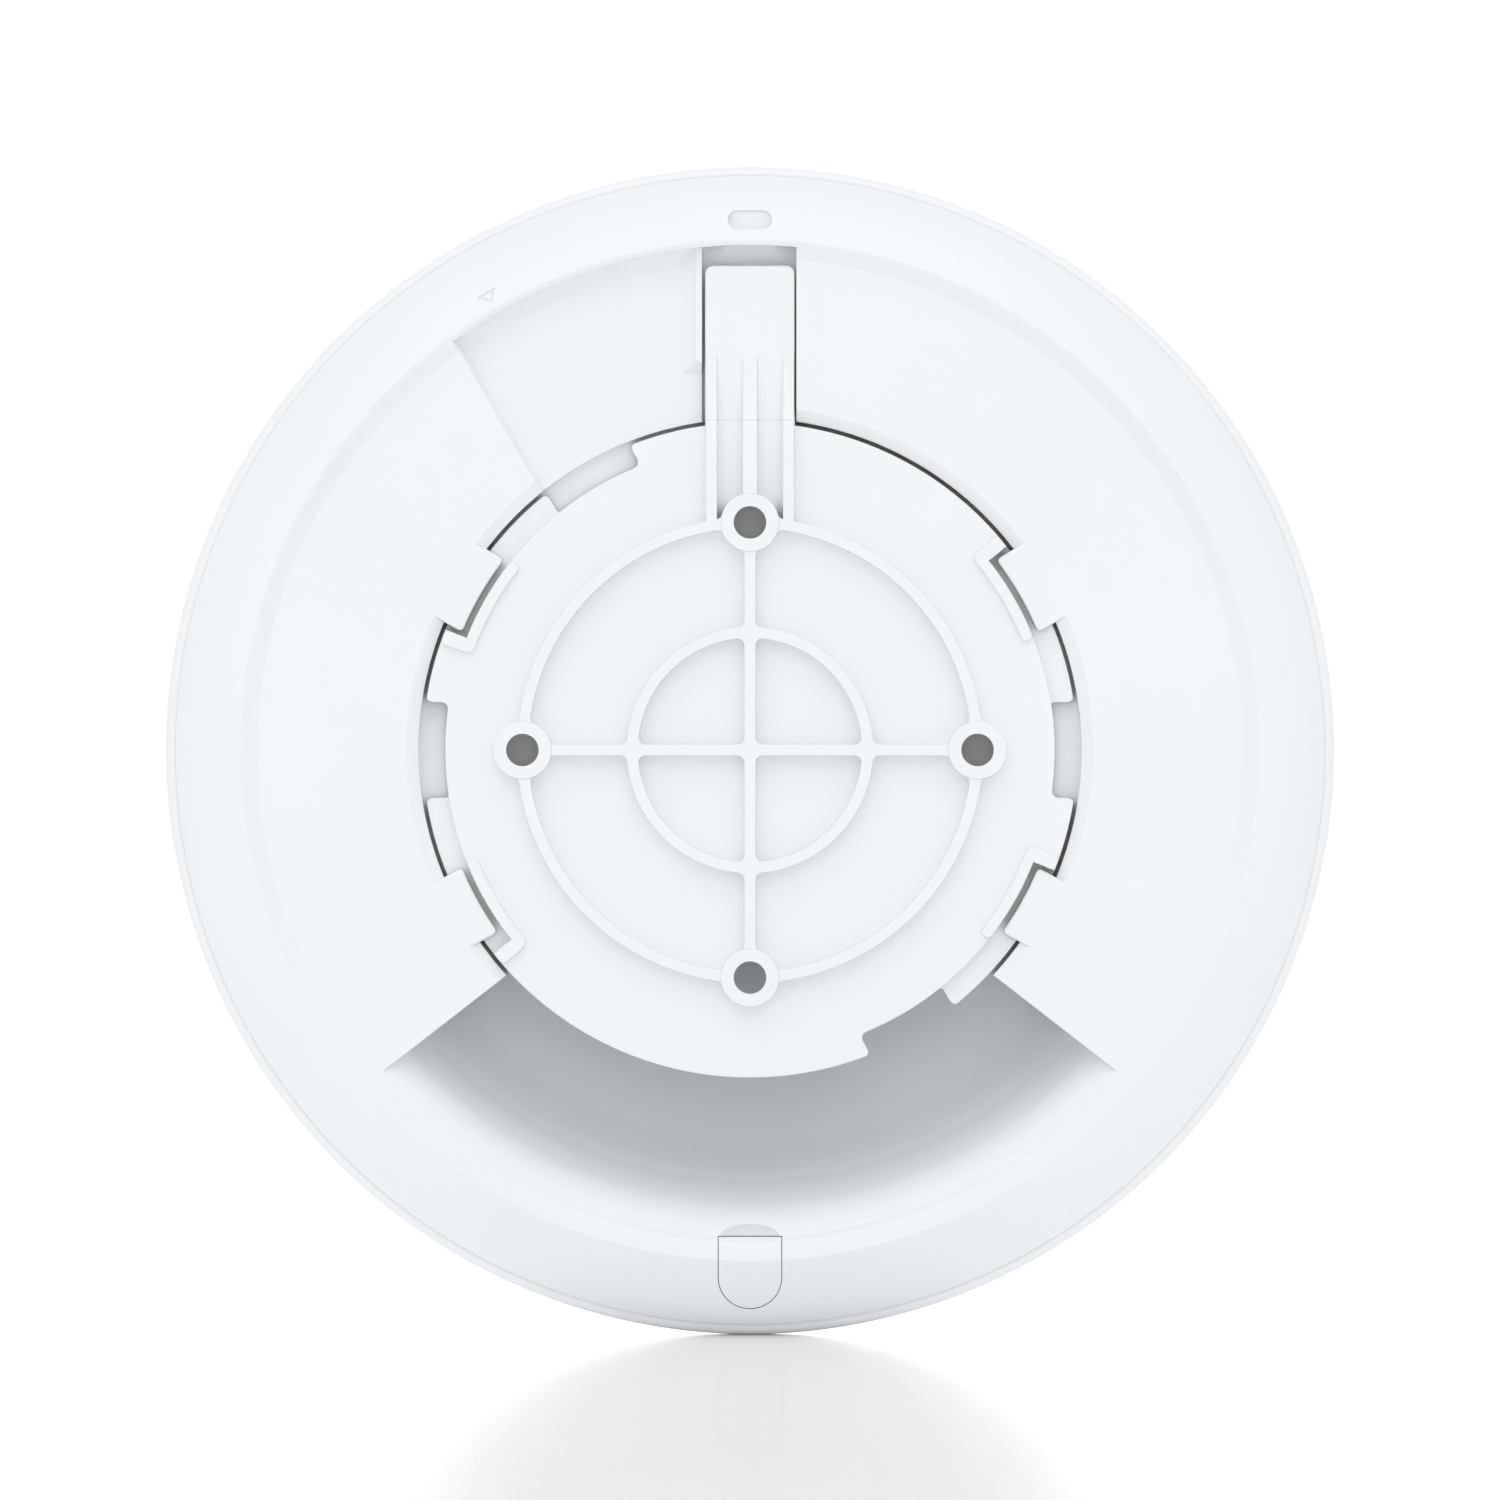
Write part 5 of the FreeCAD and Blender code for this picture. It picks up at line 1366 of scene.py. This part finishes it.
def printed_board(name, mask, track):
    """A printed board: lacquer over copper tracks that show as slightly raised, lighter runs."""
    material, nodes, links = new_finish(name)
    place = nodes.new("ShaderNodeTexCoord")
    place.label = "place on the board"
    runs = nodes.new("ShaderNodeTexBrick")
    runs.label = "runs of copper"
    runs.inputs["Scale"].default_value = 260
    runs.inputs["Mortar Size"].default_value = 0.03
    runs.inputs["Color1"].default_value = (0, 0, 0, 1)
    runs.inputs["Color2"].default_value = (0.15, 0.15, 0.15, 1)
    runs.inputs["Mortar"].default_value = (1, 1, 1, 1)
    lie = nodes.new("ShaderNodeMapping")
    lie.label = "laid flat on the board"
    lie.inputs["Rotation"].default_value = (pi / 2, 0, 0)
    lacquer = nodes.new("ShaderNodeValToRGB")
    lacquer.label = "lacquer over copper"
    lacquer.color_ramp.elements[0].color = (*mask, 1)
    lacquer.color_ramp.elements[1].color = (*track, 1)
    raised = nodes.new("ShaderNodeBump")
    raised.label = "copper stands up"
    raised.inputs["Strength"].default_value = 0.3
    raised.inputs["Distance"].default_value = COPPER_HIGH
    shader = nodes.new("ShaderNodeBsdfPrincipled")
    shader.label = name.replace("_", " ")
    shader.inputs["Roughness"].default_value = 0.33
    shader.inputs["Coat Weight"].default_value = 0.4
    out = nodes.new("ShaderNodeOutputMaterial")
    links.new(place.outputs["Object"], lie.inputs["Vector"])
    links.new(lie.outputs["Vector"], runs.inputs["Vector"])
    links.new(runs.outputs["Color"], lacquer.inputs["Fac"])
    links.new(runs.outputs["Color"], raised.inputs["Height"])
    links.new(lacquer.outputs["Color"], shader.inputs["Base Color"])
    links.new(raised.outputs["Normal"], shader.inputs["Normal"])
    links.new(shader.outputs["BSDF"], out.inputs["Surface"])
    lay_out(nodes, (
        ("where", (place, lie)), ("copper and lacquer", (runs, lacquer, raised)),
        ("surface", (shader, out)),
    ))
    return material


def cast_or_pressed(name, colour, roughness, speck, depth):
    """Resin, rubber, ferrite or film: one body colour with specks of filler."""
    material, nodes, links = new_finish(name)
    place = nodes.new("ShaderNodeTexCoord")
    place.label = "place on the piece"
    filler = nodes.new("ShaderNodeTexVoronoi")
    filler.label = "specks of filler"
    filler.inputs["Scale"].default_value = speck
    body = nodes.new("ShaderNodeValToRGB")
    body.label = "filler in the body colour"
    body.color_ramp.elements[0].color = (*[min(1, c * 1.25 + 0.01) for c in colour], 1)
    body.color_ramp.elements[1].position = 0.6
    body.color_ramp.elements[1].color = (*colour, 1)
    skin = nodes.new("ShaderNodeBump")
    skin.label = "skin of the pressing"
    skin.inputs["Strength"].default_value = 0.25
    skin.inputs["Distance"].default_value = depth
    shader = nodes.new("ShaderNodeBsdfPrincipled")
    shader.label = name.replace("_", " ")
    shader.inputs["Roughness"].default_value = roughness
    out = nodes.new("ShaderNodeOutputMaterial")
    links.new(place.outputs["Object"], filler.inputs["Vector"])
    links.new(filler.outputs["Distance"], body.inputs["Fac"])
    links.new(filler.outputs["Distance"], skin.inputs["Height"])
    links.new(body.outputs["Color"], shader.inputs["Base Color"])
    links.new(skin.outputs["Normal"], shader.inputs["Normal"])
    links.new(shader.outputs["BSDF"], out.inputs["Surface"])
    lay_out(nodes, (
        ("where", (place,)), ("filler", (filler, body, skin)), ("surface", (shader, out)),
    ))
    return material


def make_finishes():
    """Every material slot of the record with its finish."""
    even, drawn = (1, 1, 1), (1, 0.06, 1)
    finishes = {"light_pipe": light_guide("light_pipe")}
    for name, colour, roughness, grain, reach in (
        ("bracket_plastic", WHITE_RESIN, 0.46, MOULD_GRAIN, HOLLOW_REACH),
        ("shell_plastic", WHITE_RESIN, 0.44, MOULD_GRAIN, HOLLOW_REACH),
        ("plug_plastic", (0.882, 0.893, 0.9), 0.44, MOULD_GRAIN, HOLLOW_REACH),
        ("cover_plastic", (0.89, 0.9, 0.907), 0.38, 6400, HOLLOW_REACH),
        ("button_plastic", (0.27, 0.28, 0.3), 0.45, MOULD_GRAIN, 2 * MM),
    ):
        finishes[name] = moulded_plastic(name, colour, roughness, grain, reach)
    for name, mask, track in (
        ("light_board_mask", (0.8, 0.81, 0.79), (0.7, 0.71, 0.69)),
        ("board_mask", (0.008, 0.075, 0.03), (0.02, 0.15, 0.06)),
        ("aerial_board_mask", (0.01, 0.09, 0.04), (0.03, 0.17, 0.08)),
    ):
        finishes[name] = printed_board(name, mask, track)
    for name, colour, roughness, stretch, deep in (
        ("tin", (0.68, 0.69, 0.68), 0.38, drawn, 0.02),
        ("tin_lid", (0.72, 0.73, 0.72), 0.33, drawn, 0.02),
        ("cast_plate", (0.63, 0.64, 0.65), 0.5, even, 0.05),
        ("screw_steel", (0.6, 0.61, 0.62), 0.3, even, 0.01),
        ("gold_plate", (0.83, 0.62, 0.25), 0.24, even, 0.01),
        ("jack_steel", (0.68, 0.69, 0.7), 0.28, drawn, 0.01),
        ("capacitor_can", (0.7, 0.71, 0.74), 0.26, drawn, 0.01),
        ("aerial_metal", (0.72, 0.7, 0.62), 0.3, drawn, 0.01),
    ):
        finishes[name] = worked_metal(name, colour, roughness, stretch, deep * MM)
    for name, colour, roughness, speck, deep in (
        ("diode_resin", (0.86, 0.78, 0.42), 0.3, 5000, 0.01),
        ("ribbon_film", (0.62, 0.33, 0.07), 0.28, 900, 0.01),
        ("thermal_pad", (0.3, 0.42, 0.55), 0.85, 2600, 0.05),
        ("lead_jacket", (0.012, 0.012, 0.013), 0.35, 3000, 0.01),
        ("jack_plastic", (0.014, 0.014, 0.016), 0.5, 4000, 0.02),
        ("moulded_case", (0.02, 0.02, 0.022), 0.6, 3600, 0.03),
        ("ferrite", (0.045, 0.045, 0.05), 0.55, 2200, 0.04),
        ("switch_case", (0.02, 0.02, 0.022), 0.45, 4000, 0.02),
        ("chip_resin", (0.016, 0.016, 0.018), 0.48, 5200, 0.02),
    ):
        finishes[name] = cast_or_pressed(name, colour, roughness, speck, deep * MM)
    return finishes


def dress(finishes, pieces):
    """Gives every piece and every CAD node the finish of its slot."""
    slots = {part["node"]: part["material_slot"] for part in frame["record"]["subparts"]}
    for name, node in frame["nodes"].items():
        if not node.data.materials:
            node.data.materials.append(finishes[slots[name]])
        for n in range(len(node.data.materials)):
            node.data.materials[n] = finishes[slots[name]]
    for piece, slot in pieces.items():
        piece.data.materials.clear()
        piece.data.materials.append(finishes[slot])


# ---------------------------------------------------------------- the whole

make_studio()
pieces = {
    make_bracket(): "bracket_plastic",
    make_arm(): "bracket_plastic",
    make_rear_shell(): "shell_plastic",
    make_plug(): "plug_plastic",
    make_cover(): "cover_plastic",
    make_light_ring(): "light_pipe",
    make_cap(): "cover_plastic",
}
dress(make_finishes(), pieces)
